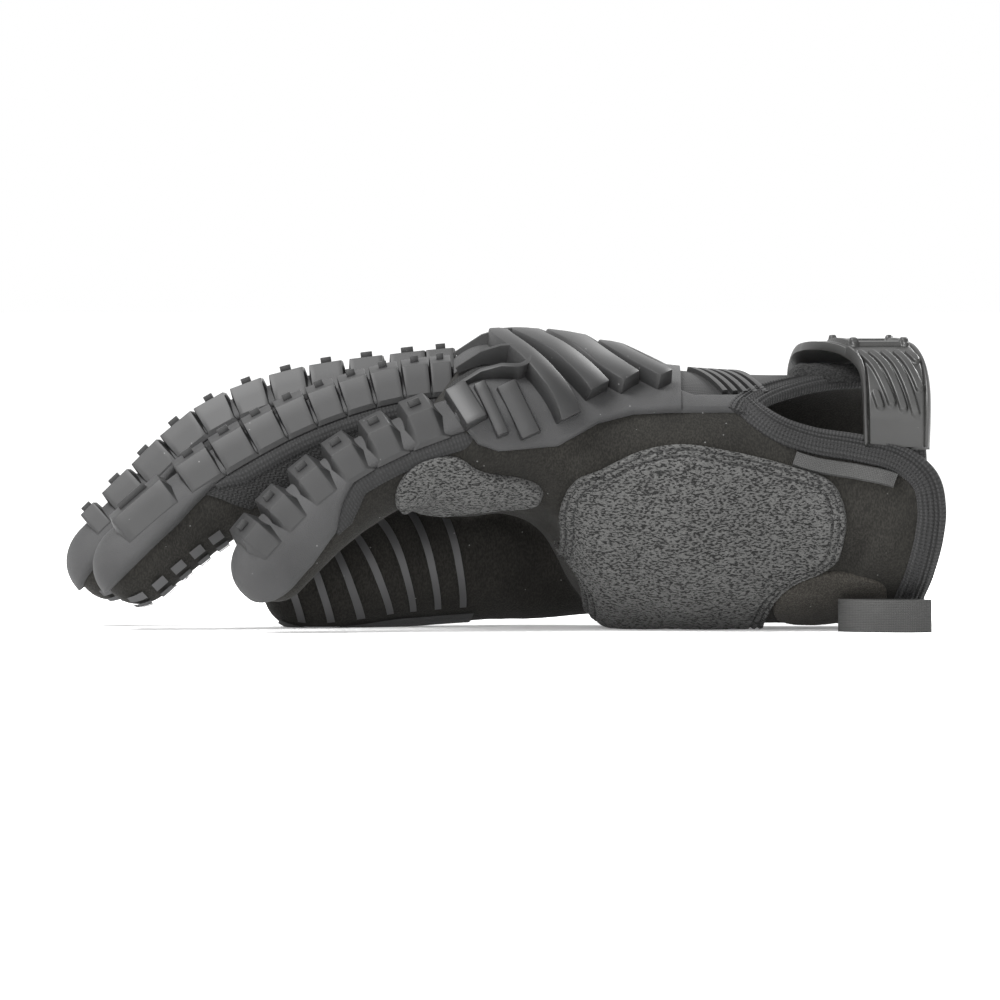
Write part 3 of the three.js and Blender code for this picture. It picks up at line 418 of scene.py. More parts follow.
LITTLE = finger("little", 0.93, 16, (
    (0.499, -0.335, 0.665), (0.42, -0.358, 0.592), (0.3525, -0.372, 0.497), (0.296, -0.382, 0.375),
    (0.258, -0.392, 0.263), (0.22, -0.402, 0.13)))
RING = finger("ring", 1.0, 6, (
    (0.4876, -0.12, 0.725), (0.386, -0.125, 0.695), (0.296, -0.13, 0.612), (0.2173, -0.135, 0.492),
    (0.1498, -0.14, 0.362), (0.058, -0.145, 0.13)))
MIDDLE = finger("middle", 1.0, -2, (
    (0.4876, 0.12, 0.752), (0.3964, 0.125, 0.727), (0.269, 0.13, 0.67), (0.19, 0.135, 0.575),
    (0.115, 0.14, 0.378), (0.026, 0.145, 0.13)))
INDEX = finger("index", 0.98, -10, (
    (0.4876, 0.29, 0.69), (0.386, 0.335, 0.68), (0.2849, 0.378, 0.618), (0.206, 0.39, 0.492),
    (0.1385, 0.4, 0.348), (0.08, 0.41, 0.145)))
THUMB = Digit("thumb", (
    (0.69, 0.2, 0.27), (0.55, 0.215, 0.232), (0.45, 0.16, 0.225), (0.38, 0.125, 0.2),
    (0.32, 0.1, 0.155), (0.229, 0.08, 0.105)), 29 * MM, 33 * MM, 0, THUMB_PROFILE)
DIGITS = (LITTLE, RING, MIDDLE, INDEX, THUMB)
FINGERS = DIGITS[:4]


class Pattern(Enum):
    """The surface patterns that a finish can have."""

    RUBBER = "rubber"
    SUEDE = "suede"
    PEBBLE = "pebble"
    MESH = "mesh"
    KNIT = "knit"
    WEAVE = "weave"
    PILE = "pile"


@dataclass(frozen=True)
class Finish:
    """One material: its colour, gloss and pattern.

    Args:
        name: the material's name.
        colour: linear colour.
        rough: roughness.
        pattern: its surface pattern.
        bump: how deep the pattern is, in metres.
        slot: the record's material slot; not used.
    """

    name: str
    colour: tuple[float, float, float]
    rough: float
    pattern: Pattern
    bump: float
    slot: str

    def material(self) -> bpy.types.Material:
        """The material, made on first use."""
        found = bpy.data.materials.get(self.name)
        if found:
            return found
        made = bpy.data.materials.new(self.name)
        made.use_nodes = True
        tree = made.node_tree
        shader = tree.nodes["Principled BSDF"]
        shader.inputs["Roughness"].default_value = self.rough
        if self.pattern in (Pattern.SUEDE, Pattern.PILE, Pattern.PEBBLE):
            shader.inputs["Sheen Weight"].default_value = 0.04
            shader.inputs["Specular IOR Level"].default_value = 0.2
        space = tree.nodes.new("ShaderNodeTexCoord")

        def math_node(kind: str, a: object, b: object = 0.0) -> bpy.types.NodeSocket:
            """One Math node on sockets or numbers."""
            node = tree.nodes.new("ShaderNodeMath")
            node.operation = kind
            for socket, value in zip(node.inputs, (a, b)):
                if isinstance(value, (int, float)):
                    socket.default_value = value
                else:
                    tree.links.new(value, socket)
            return node.outputs[0]

        def noise(scale: float, detail: float = 3, stretch: tuple[float, float, float] = (1, 1, 1)
                  ) -> bpy.types.NodeSocket:
            """Noise on object coordinates."""
            turn = tree.nodes.new("ShaderNodeMapping")
            turn.inputs["Scale"].default_value = stretch
            turn.inputs["Rotation"].default_value = (0, 0.5, 0)
            tree.links.new(space.outputs["Object"], turn.inputs["Vector"])
            node = tree.nodes.new("ShaderNodeTexNoise")
            node.inputs["Scale"].default_value = scale
            node.inputs["Detail"].default_value = detail
            tree.links.new(turn.outputs[0], node.inputs["Vector"])
            return node.outputs[0]

        def ramp(value: bpy.types.NodeSocket, low: float, high: float, to_low: float, to_high: float
                 ) -> bpy.types.NodeSocket:
            """The value stretched from low..high to new ends."""
            node = tree.nodes.new("ShaderNodeMapRange")
            node.interpolation_type = "SMOOTHSTEP"
            for socket, number in zip(node.inputs[1:5], (low, high, to_low, to_high)):
                socket.default_value = number
            tree.links.new(value, node.inputs[0])
            return node.outputs[0]

        def wave(value: bpy.types.NodeSocket, pitch: float) -> bpy.types.NodeSocket:
            """A sine of a length in millimetres, from -1 to 1."""
            return math_node("SINE", math_node("MULTIPLY", value, 2 * math.pi / pitch))

        split = tree.nodes.new("ShaderNodeSeparateXYZ")
        tree.links.new(space.outputs["UV"], split.inputs[0])
        u, v = split.outputs[0], split.outputs[1]
        broad = ramp(noise(45), 0.3, 0.7, 0.78, 1.2)
        if self.pattern is Pattern.RUBBER:
            height = noise(3800, 2)
            shade = broad
        elif self.pattern is Pattern.SUEDE:
            height = noise(2600, 4, (1, 1, 0.5))
            shade = math_node("MULTIPLY", broad, ramp(height, 0.35, 0.7, 0.6, 1.45))
        elif self.pattern is Pattern.PEBBLE:
            height = ramp(noise(1750, 2, (0.6, 1, 1.35)), 0.37, 0.55, 0, 1)
            fine = ramp(noise(3500, 2), 0.3, 0.7, 0.8, 1.2)
            shade = math_node("MULTIPLY", ramp(height, 0, 1, 0.16, 1.2), fine)
        elif self.pattern is Pattern.MESH:
            zig = math_node("MULTIPLY", math_node("PINGPONG", u, 0.9), 0.8)
            rows = wave(math_node("ADD", v, zig), 1.15)
            height = math_node("MULTIPLY", ramp(rows, -0.6, 0.6, 0, 1),
                               ramp(wave(u, 0.9), -1, 0.4, 0.4, 1))
            shade = math_node("MULTIPLY", ramp(height, 0, 1, 0.1, 3.2), broad)
        elif self.pattern is Pattern.KNIT:
            height = math_node("MULTIPLY", ramp(wave(u, 0.95), -0.9, 0.7, 0.2, 1),
                               ramp(wave(v, 1.3), -0.9, 0.7, 0.3, 1))
            shade = math_node("MULTIPLY", ramp(height, 0, 1, 0.5, 1.4), broad)
        elif self.pattern is Pattern.WEAVE:
            height = math_node("MULTIPLY", wave(math_node("ADD", u, v), 0.9),
                               wave(math_node("SUBTRACT", u, v), 0.9))
            height = ramp(height, -0.6, 0.6, 0, 1)
            shade = math_node("MULTIPLY", ramp(height, 0, 1, 0.7, 1.2), broad)
        else:
            height = noise(1900, 5)
            shade = math_node("MULTIPLY", broad, ramp(height, 0.4, 0.65, 0.4, 1.8))
        lint = tree.nodes.new("ShaderNodeTexVoronoi")
        lint.inputs["Scale"].default_value = 330
        tree.links.new(space.outputs["Object"], lint.inputs["Vector"])
        strength = 0.10 if self.pattern in (Pattern.SUEDE, Pattern.RUBBER) else 0.0
        specks = ramp(lint.outputs["Distance"], 0.05, 0.09, strength, 0.0)
        picked = math_node("MULTIPLY", specks, ramp(noise(900, 0), 0.6, 0.66, 0, 1))
        dyed = tree.nodes.new("ShaderNodeVectorMath")
        dyed.operation = "SCALE"
        dyed.inputs[0].default_value = self.colour
        tree.links.new(shade, dyed.inputs["Scale"])
        dusty = tree.nodes.new("ShaderNodeVectorMath")
        tree.links.new(dyed.outputs[0], dusty.inputs[0])
        tree.links.new(picked, dusty.inputs[1])
        tree.links.new(dusty.outputs[0], shader.inputs["Base Color"])
        bump = tree.nodes.new("ShaderNodeBump")
        bump.inputs["Strength"].default_value = 0.8
        bump.inputs["Distance"].default_value = self.bump
        tree.links.new(height, bump.inputs["Height"])
        tree.links.new(bump.outputs[0], shader.inputs["Normal"])
        return made


SUEDE = Finish("palm suede", (0.0125, 0.0118, 0.0102), 0.95, Pattern.SUEDE, 0.25 * MM, "palm_suede")
TRIM_SUEDE = Finish("loop suede", (0.03, 0.0275, 0.0235), 0.95, Pattern.SUEDE, 0.25 * MM, "palm_suede")
GRIP = Finish("pebbled grip", (0.058, 0.058, 0.0565), 0.8, Pattern.PEBBLE, 0.5 * MM, "pebbled_grip")
RUBBER = Finish("moulded rubber", (0.0075, 0.0075, 0.0077), 0.54,
                Pattern.RUBBER, 0.02 * MM, "moulded_rubber")
FLANGE = Finish("textured flange", (0.023, 0.023, 0.0235), 0.75,
                Pattern.RUBBER, 0.16 * MM, "moulded_rubber")
STRAP = Finish("strap rubber", (0.0155, 0.0155, 0.0148), 0.42, Pattern.RUBBER, 0.02 * MM, "strap_rubber")
MESH = Finish("zigzag mesh", (0.0035, 0.0035, 0.0035), 0.85, Pattern.MESH, 0.35 * MM, "back_knit")
HEM = Finish("ribbed hem", (0.009, 0.009, 0.0093), 0.85, Pattern.KNIT, 0.15 * MM, "back_knit")
BINDING = Finish("ribbed binding", (0.0125, 0.0125, 0.0128), 0.85,
                 Pattern.KNIT, 0.35 * MM, "ribbed_binding")
PILE = Finish("loop pile", (0.012, 0.012, 0.012), 0.95, Pattern.PILE, 0.6 * MM, "loop_pile")
WEBBING = Finish("webbing", (0.036, 0.036, 0.035), 0.8, Pattern.WEAVE, 0.2 * MM, "woven_trim")
THREAD = Finish("sewing thread", (0.006, 0.006, 0.006), 0.7, Pattern.RUBBER, 0.05 * MM, "pebbled_grip")
STRIPE = Finish("printed stripe", (0.034, 0.034, 0.035), 0.5, Pattern.RUBBER, 0.03 * MM, "palm_suede")


def only(obj: bpy.types.Object) -> bpy.types.Object:
    """Selects this object alone and makes it active."""
    bpy.ops.object.select_all(action="DESELECT")
    obj.select_set(True)
    bpy.context.view_layer.objects.active = obj
    return obj


def modified(obj: bpy.types.Object, kind: str, **settings: object) -> bpy.types.Object:
    """Adds a modifier and applies it."""
    only(obj)
    made = obj.modifiers.new(kind.lower(), kind)
    for key, value in settings.items():
        setattr(made, key, value)
    bpy.ops.object.modifier_apply(modifier=made.name)
    return obj


def tidied(obj: bpy.types.Object, close: bool = True) -> bpy.types.Object:
    """Merges doubles, closes holes if asked and turns the faces outwards."""
    only(obj)
    bpy.ops.object.mode_set(mode="EDIT")
    bpy.ops.mesh.select_all(action="SELECT")
    bpy.ops.mesh.remove_doubles(threshold=1e-6)
    if close:
        bpy.ops.mesh.fill_holes(sides=0)
        bpy.ops.mesh.normals_make_consistent(inside=False)
    bpy.ops.object.mode_set(mode="OBJECT")
    return obj


def laid(name: str, points: Array, normals: Array | None = None, scale: Array | None = None
         ) -> bpy.types.Object:
    """A grid primitive laid out on rows and columns of points.

    Args:
        name: the piece's name.
        points: rows of columns of points.
        normals: the side that the faces look to.
        scale: the pattern's coordinates in millimetres; lengths along the grid if None.

    Returns:
        The new mesh object.
    """
    rows, cols = points.shape[:2]
    if normals is not None:
        across = np.cross(points[1:-1, 2:] - points[1:-1, :-2], points[2:, 1:-1] - points[:-2, 1:-1])
        if (across * normals[1:-1, 1:-1]).sum() < 0:
            points = points[:, ::-1]
    bpy.ops.object.select_all(action="DESELECT")
    bpy.ops.mesh.primitive_grid_add(x_subdivisions=cols - 1, y_subdivisions=rows - 1, size=1)
    obj = bpy.context.object
    obj.name = name
    obj.data.vertices.foreach_set("co", np.ascontiguousarray(points, np.float32).ravel())
    if scale is None:
        u = np.cumsum(np.linalg.norm(np.diff(points, axis=0, prepend=points[:1]), axis=2), axis=0)
        v = np.cumsum(np.linalg.norm(np.diff(points, axis=1, prepend=points[:, :1]), axis=2), axis=1)
        scale = np.stack([np.broadcast_to(u.mean(1)[:, None], (rows, cols)), v], -1) / MM
    loops = np.empty(len(obj.data.loops), int)
    obj.data.loops.foreach_get("vertex_index", loops)
    flat = scale.reshape(-1, 2)[loops]
    obj.data.uv_layers.active.data.foreach_set("uv", flat.astype(np.float32).ravel())
    obj.data.update()
    return obj


def dressed(obj: bpy.types.Object, finish: Finish, *nodes: str, angle: float = 35) -> bpy.types.Object:
    """Gives a piece its finish, lets it ride on the glove and hides the parts it stands for."""
    only(obj)
    bpy.ops.object.shade_smooth_by_angle(angle=math.radians(angle))
    obj.data.materials.clear()
    obj.data.materials.append(finish.material())
    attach(obj, "root")
    if nodes:
        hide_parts(*nodes)
    log.info("%s: %d faces", obj.name, len(obj.data.polygons))
    return obj


def joined(name: str, pieces: list[bpy.types.Object]) -> bpy.types.Object:
    """Joins pieces into one."""
    only(pieces[0])
    for piece in pieces:
        piece.select_set(True)
    if len(pieces) > 1:
        bpy.ops.object.join()
    pieces[0].name = name
    return pieces[0]


def swept(name: str, path: Array, normal: Array, section: Array, width: Array, height: Array,
          closed: bool = False) -> bpy.types.Object:
    """A closed section swept along a path on a skin.

    Args:
        name: the piece's name.
        path: points of the path.
        normal: the skin's normal at each point.
        section: closed section, sideways and upright, in shares of width and height.
        width: width at each point.
        height: height at each point.
        closed: whether the path runs back to its start.

    Returns:
        The swept piece with closed ends.
    """
    line = np.vstack([path[-1:], path, path[:1]]) if closed else path
    way = np.gradient(line, axis=0)
    way = unit(way[1:-1] if closed else way)
    aside = unit(np.cross(normal, way))
    ring = np.vstack([section, section[:1]])
    wide = np.broadcast_to(width, len(path))[:, None, None] * ring[None, :, :1]
    tall = np.broadcast_to(height, len(path))[:, None, None] * ring[None, :, 1:]
    points = path[:, None] + aside[:, None] * wide + normal[:, None] * tall
    if closed:
        points = np.vstack([points, points[:1]])
    points[..., 2] = np.maximum(points[..., 2], 0)
    return tidied(laid(name, points), close=True)


def stitches(name: str, path: Array, normal: Array, pitch: float, thick: float) -> bpy.types.Object:
    """Separate stitches along a path: one is modelled and copied to each place.

    Args:
        name: the piece's name.
        path: points of the seam.
        normal: the skin's normal at each point.
        pitch: distance from stitch to stitch.
        thick: thickness of the thread.

    Returns:
        All stitches in one piece.
    """
    far = np.concatenate([[0], np.cumsum(np.linalg.norm(np.diff(path, axis=0), axis=1))])
    places = np.arange(pitch / 2, far[-1], pitch)
    spots, ups, ways = (np.stack([np.interp(places, far, rows[:, k]) for k in range(3)], -1)
                        for rows in (path, normal, unit(np.gradient(path, axis=0))))
    sides = unit(np.cross(ups, ways))
    bpy.ops.object.select_all(action="DESELECT")
    bpy.ops.mesh.primitive_uv_sphere_add(segments=8, ring_count=6, radius=0.5)
    first = bpy.context.object
    corners = np.array([v.co for v in first.data.vertices]) * (thick, thick, pitch * 0.78)
    faces = [tuple(face.vertices) for face in first.data.polygons]
    bpy.data.objects.remove(first)
    points, all_faces = [], []
    for spot, side, up, way in zip(spots, sides, ups, ways):
        all_faces += [tuple(v + len(points) * len(corners) for v in face) for face in faces]
        points.append(spot + corners @ np.stack([side, up, way]))
    mesh = bpy.data.meshes.new(name)
    mesh.from_pydata(np.vstack(points).tolist(), [], all_faces)
    obj = bpy.data.objects.new(name, mesh)
    bpy.context.scene.collection.objects.link(obj)
    return obj


BAR = np.array([(-0.5, -0.35), (0.5, -0.35), (0.4, 1.0), (0.0, 1.04), (-0.4, 1.0)])


def block(name: str, place: Callable[[Array, Array, Array], Array], cuts: int, edge: float
          ) -> bpy.types.Object:
    """A cube primitive cut finer and moulded onto a skin, with rounded edges.

    Args:
        name: the piece's name.
        place: gives the point for the cube's own coordinates, each from -1 to 1.
        cuts: how often each edge is cut.
        edge: radius of its edges.

    Returns:
        The moulded block.
    """
    bpy.ops.object.select_all(action="DESELECT")
    bpy.ops.mesh.primitive_cube_add(size=2)
    obj = bpy.context.object
    obj.name = name
    bpy.ops.object.mode_set(mode="EDIT")
    bpy.ops.mesh.subdivide(number_cuts=cuts)
    bpy.ops.object.mode_set(mode="OBJECT")
    corners = np.array([v.co for v in obj.data.vertices])
    points = place(corners[:, 0], corners[:, 1], corners[:, 2])
    obj.data.vertices.foreach_set("co", points.astype(np.float32).ravel())
    return modified(tidied(obj), "BEVEL", width=edge, segments=2, limit_method="ANGLE",
                    angle_limit=math.radians(38))


BACK_EDGE = ((0.772, 132), (0.79, 123), (0.8255, 112), (0.87, 101), (0.91, 95), (0.94, 86), (0.957, 68),
             (0.966, 40), (0.972, 5), (0.972, -35), (0.962, -70), (0.955, -88))
PALM_EDGE = ((0.772, 0.755), (0.79, 0.71), (0.815, 0.666), (0.85, 0.632), (0.9, 0.608), (0.945, 0.575),
             (0.975, 0.51), (0.984, 0.42), (0.982, 0.32), (0.972, 0.2), (0.958, 0.09))


def cuff_branches() -> tuple[Array, Array]:
    """The cuff's edge as places along and angles: over the back, and over the palm side."""
    back = np.array([(along, math.radians(around)) for along, around in BACK_EDGE])
    palm = np.array(PALM_EDGE)
    palm = np.stack([palm[:, 0], HAND.angle_at(palm[:, 0], palm[:, 1], -1)], -1)
    return back, np.vstack([palm, [[0.955, math.radians(272)]]])


def cuff_edge(angle: Array) -> Array:
    """How far along the cloth reaches at an angle round the cuff."""
    back, palm = cuff_branches()
    turned = np.where(angle > math.radians(272), angle - 2 * math.pi, angle)
    order = np.argsort(palm[:, 1])
    over = np.interp(turned, back[::-1, 1], back[::-1, 0])
    under = np.interp(turned, palm[order, 1], palm[order, 0])
    return np.where(turned < math.radians(132), over, under)


@dataclass
class Skin:
    """The suede hand: one outer skin, and the lining that shows in the cuff and its notch."""

    voxel: float = 0.95 * MM
    wall: float = 1.8 * MM
    # Side view: along and up of both ends of a fold, its width and depth
    folds: tuple[tuple[float, ...], ...] = (
        (0.585, 0.53, 0.562, 0.36, 3.0, 1.5), (0.60, 0.6, 0.572, 0.30, 2.2, -1.0),
        (0.89, 0.14, 0.955, 0.36, 3.4, -1.1), (0.872, 0.17, 0.935, 0.37, 3.0, 1.3),
        (0.62, 0.66, 0.575, 0.5, 2.6, -0.8), (0.545, 0.40, 0.575, 0.24, 2.5, 1.2),
        (0.53, 0.2, 0.60, 0.04, 3.0, 0.8), (0.46, 0.2, 0.56, 0.02, 4.0, -0.8))
    kept: dict[float, Array] = field(default_factory=dict)

    def closed(self, points: Array) -> bpy.types.Object:
        """A loft closed at both ends."""
        ends = [np.broadcast_to(points[k].mean(0), points[k].shape)[None] for k in (0, -1)]
        return tidied(laid("loft", np.vstack([ends[0], points, ends[1]])))

    def build(self) -> bpy.types.Object:
        """The outer skin, open at the cuff."""
        turn = np.linspace(0, 2 * math.pi, 141)
        along = np.linspace(0.389, 1.06, 150)
        lofts = [self.closed(HAND.at(along[:, None], turn[None, :])[0])]
        for digit in DIGITS:
            start = 1 - digit.depth * digit.dome / digit.whole
            dome = start + (1 - start) * np.sin(np.radians(np.linspace(4, 88, 18)))
            shares = np.concatenate([np.linspace(-0.06, start, 90), dome])
            lofts.append(self.closed(digit.at(shares[:, None], turn[None, ::2])[0]))
        skin = joined("hand_skin", lofts)
        modified(skin, "REMESH", mode="VOXEL", voxel_size=self.voxel)
        modified(skin, "SMOOTH", factor=0.5, iterations=5)
        self.wrinkle(skin)
        self.open_cuff(skin)
        return dressed(skin, SUEDE, "palm_panel", "thumb_back", "back_panel", "gusset_ring",
                       "gusset_middle", "gusset_index", angle=60)

    def wrinkle(self, skin: bpy.types.Object) -> None:
        """Presses the folds and small unevenness of worn suede into the skin."""
        mesh = skin.data
        places, normals = (np.empty(len(mesh.vertices) * 3, np.float32) for _ in range(2))
        mesh.vertices.foreach_get("co", places)
        mesh.vertices.foreach_get("normal", normals)
        places, normals = places.reshape(-1, 3).astype(float), normals.reshape(-1, 3)
        push = Grain(3).at(places, 9 * MM) * 0.28 * MM + Grain(4).at(places, 3 * MM) * 0.1 * MM
        seen = smooth(-normals[:, 1] * 3)
        for a, b, c, d, wide, deep in self.folds:
            start = np.array([(a - 0.5) * HAND_LENGTH, b * HAND_HEIGHT])
            line = np.array([(c - 0.5) * HAND_LENGTH, d * HAND_HEIGHT]) - start
            spot = places[:, [0, 2]] - start
            t = np.clip(spot @ line / (line @ line), 0, 1)
            off = np.linalg.norm(spot - t[:, None] * line, axis=1) / (wide * MM)
            push -= seen * deep * MM * np.exp(-off ** 2) * np.sin(np.clip(t, 0.08, 0.92) * math.pi)
        places += normals * push[:, None]
        places[:, 2] = np.maximum(places[:, 2], 0.2 * MM)
        mesh.vertices.foreach_set("co", places.astype(np.float32).ravel())
        mesh.update()

    def open_cuff(self, skin: bpy.types.Object) -> None:
        """Takes away the cloth beyond the edge of the cuff."""
        mesh = skin.data
        middles = np.empty(len(mesh.polygons) * 3)
        mesh.polygons.foreach_get("center", middles)
        middles = middles.reshape(-1, 3)
        along = (middles[:, 0] - CENTRE_SHIFT) / HAND_LENGTH + 0.5
        turn = np.radians(np.arange(-88, 272, 1.5))
        edges = cuff_edge(turn)
        beyond = np.zeros(len(middles), bool)
        for k in np.flatnonzero(along > 0.75):
            ring = self.ring(round(float(along[k]), 3), turn)
            beyond[k] = along[k] > edges[np.argmin(((ring - middles[k, 1:]) ** 2).sum(1))]
        only(skin)
        bpy.ops.object.mode_set(mode="EDIT")
        bpy.ops.mesh.select_all(action="DESELECT")
        bpy.ops.mesh.select_mode(type="FACE")
        bpy.ops.object.mode_set(mode="OBJECT")
        mesh.polygons.foreach_set("select", beyond)
        bpy.ops.object.mode_set(mode="EDIT")
        bpy.ops.mesh.delete(type="FACE")
        bpy.ops.object.mode_set(mode="OBJECT")

    def ring(self, along: float, turn: Array) -> Array:
        """One section of the hand across and up, kept for the next call."""
        if along not in self.kept:
            self.kept[along] = HAND.at(along, turn)[0][:, 1:]
        return self.kept[along]

    def lining(self) -> bpy.types.Object:
        """The inner wall of the cuff and palm, closed at the finger roots."""
        turn = np.radians(np.linspace(-88, 272, 181))
        share = np.linspace(0, 1, 90)
        along = mix(0.47, cuff_edge(turn) - 0.002, share[:, None])
        points, normals = HAND.at(along, turn[None, :], -self.wall)
        points[0] = points[0].mean(0)
        obj = laid("cuff_lining", points, -normals)
        return dressed(obj, SUEDE, angle=60)


@dataclass
class Pads:
    """Pebbled patches that are cast onto the skin from the little-finger side and from below."""

    tree: BVHTree
    reach: float = 18 * MM
    wall: float = 1.7 * MM
    round_edge: float = 1.3 * MM
    seam_lines: tuple[float, float] = (1.7 * MM, 3.5 * MM)
    # Outlines: place along, and millimetres down the side and on under the hand
    palm: tuple[tuple[float, float], ...] = (
        (0.583, 40), (0.611, 43), (0.657, 48), (0.702, 49.8), (0.769, 47.4), (0.826, 44), (0.871, 40),
        (0.888, 32), (0.884, 21.6), (0.865, 12.4), (0.825, 3), (0.80, -12), (0.795, -35), (0.77, -50),
        (0.70, -54), (0.63, -50), (0.60, -35), (0.592, -10), (0.576, 0), (0.562, 8), (0.563, 16),
        (0.57, 24), (0.569, 32))
    knuckle: tuple[tuple[float, float], ...] = (
        (0.381, 38), (0.392, 42.7), (0.42, 46.1), (0.448, 46.6), (0.476, 43.2), (0.521, 40.5),
        (0.544, 37), (0.547, 31.6), (0.533, 27), (0.488, 26), (0.465, 27), (0.432, 23), (0.40, 27))
    heel: tuple[tuple[float, float], ...] = (
        (0.81, -14), (0.81, -3), (0.83, 4), (0.86, 10), (0.885, 11.5), (0.915, 9.5), (0.932, 5),
        (0.936, -3), (0.93, -14), (0.90, -20), (0.84, -20))

    def cast(self, along: Array, down: Array, corner: float) -> Array:
        """Points of the skin at places along and down the side.

        Args:
            along: places along the hand.
            down: metres on the way down, heights above the corner.
            corner: the height at which the way turns under the hand.

        Returns:
            The points.
        """
        turn = np.clip((corner - down) / self.reach, 0, math.pi / 2)
        way = np.stack([0 * turn, np.cos(turn), np.sin(turn)], -1)
        under = np.maximum(corner - self.reach * math.pi / 2 - down, 0)
        x = (along - 0.5) * HAND_LENGTH + CENTRE_SHIFT
        start = np.stack([x, -20 * MM + under, np.maximum(down, corner)], -1) - way * 70 * MM
        flat = np.zeros((down.size, 3))
        for k, (spot, ray) in enumerate(zip(start.reshape(-1, 3), way.reshape(-1, 3))):
            hit = self.tree.ray_cast(Vector(spot), Vector(ray))[0]
            flat[k] = hit if hit else spot + ray * 50 * MM
        return flat.reshape(down.shape + (3,))

    def patch(self, name: str, outline: tuple[tuple[float, float], ...], centre: tuple[float, float],
              corner: float, size: tuple[int, int], wall: float, pebbles: float, seam: bool
              ) -> bpy.types.Object:
        """A patch with rounded edges, its sewn channel and its pebbles.

        Args:
            name: the piece's name.
            outline: places along and millimetres down.
            centre: the middle in the same two.
            corner: the height at which the way down turns under the hand.
            size: steps round the edge and out from the middle.
            wall: thickness.
            pebbles: depth of the grain.
            seam: whether a double seam runs inside the edge.

        Returns:
            The patch.
        """
        scale = np.array([HAND_LENGTH, MM])
        edge = evenly(spline(np.array(outline) * scale, 30, True), size[0], True)
        edge = np.vstack([edge, edge[:1]])
        out = np.linspace(0, 1, size[1]) ** 0.8
        flat = centre * scale + out[:, None, None] * (edge - centre * scale)
        rim = edge[::3]
        gap = np.array([np.linalg.norm(row[:, None] - rim[None], axis=2).min(1) for row in flat])
        places = self.cast(flat[..., 0] / HAND_LENGTH, flat[..., 1], corner)
        for _ in range(4):
            inner = (places[2:] + places[:-2] + np.roll(places, 1, 1)[1:-1]
                     + np.roll(places, -1, 1)[1:-1]) / 4
            places[1:-1] = inner
            places[:, 0] = places[:, -1] = (places[:, 1] + places[:, -2]) / 2
        normal = unit(np.cross(np.gradient(places, axis=1), np.gradient(places, axis=0)))
        normal[0] = normal[3].mean(0)
        outward = places - np.array([0, 10 * MM, 40 * MM])
        normal *= -1 if (normal[..., 1:] * outward[..., 1:]).sum() < 0 else 1
        for _ in range(6):
            normal = unit(normal + np.roll(normal, 1, 1) + np.roll(normal, -1, 1))
            normal[1:-1] = unit(normal[1:-1] + normal[2:] + normal[:-2])
        share = np.clip(gap / self.round_edge, 0, 1)
        lift = wall * np.sqrt(np.clip(1 - (1 - share) ** 2, 0, 1))
        if seam:
            for line in self.seam_lines:
                lift -= 0.55 * MM * np.exp(-((gap - line) / (0.42 * MM)) ** 2)
        stretched = places * (0.6, 1, 1.3)
        coarse, fine = Grain(7).at(stretched, 0.95 * MM), Grain(8).at(places, 0.5 * MM)
        lift += share * pebbles * (coarse + 0.5 * fine)
        points = places + normal * lift[..., None]
        points[-1] = places[-1] - normal[-1] * 0.4 * MM
        points[0] = points[0].mean(0)
        points[..., 2] = np.maximum(points[..., 2], 0)
        self.face = (places + normal * wall, normal, gap)
        return tidied(laid(name, points, normal), close=False)

    def seams(self) -> None:
        """The double row of stitches inside the edge of the palm pad."""
        face, normal, gap = self.face
        rows = []
        for k, inset in enumerate(self.seam_lines):
            ring = np.abs(gap - inset).argmin(axis=0)
            cols = np.arange(gap.shape[1])
            path = face[ring, cols] - normal[ring, cols] * 0.38 * MM
            soft = [np.convolve(np.pad(row, 6, mode="wrap"), np.ones(13) / 13, "valid") for row in path.T]
            path = np.stack(soft, -1)
            keep = path[:, 2] > 2 * MM
            first = int(np.argmin(keep)) if not keep.all() else 0
            path, up, keep = (np.roll(a, -first, 0) for a in (path, normal[ring, cols], keep))
            rows.append(stitches(f"seam_{k}", path[keep], up[keep], 2.3 * MM, 0.5 * MM))
        dressed(joined("pad_stitches", rows), THREAD, angle=80)

    def build(self) -> None:
        """Both pads and the patch that carries the pull loop."""
        pad = self.patch("palm_grip", self.palm, (0.70, 5), 20 * MM, (700, 84), self.wall,
                         0.16 * MM, True)
        dressed(pad, GRIP, "palm_pad", angle=60)
        self.seams()
        pad = self.patch("distal_grip", self.knuckle, (0.455, 36), 45 * MM, (400, 48), 2.2 * MM,
                         0.16 * MM, False)
        dressed(pad, GRIP, "distal_pad", angle=60)
        patch = self.patch("loop_tab", self.heel, (0.875, -4), 20 * MM, (240, 30), 0.9 * MM,
                           0.04 * MM, False)
        dressed(patch, TRIM_SUEDE, "loop_patch", angle=60)


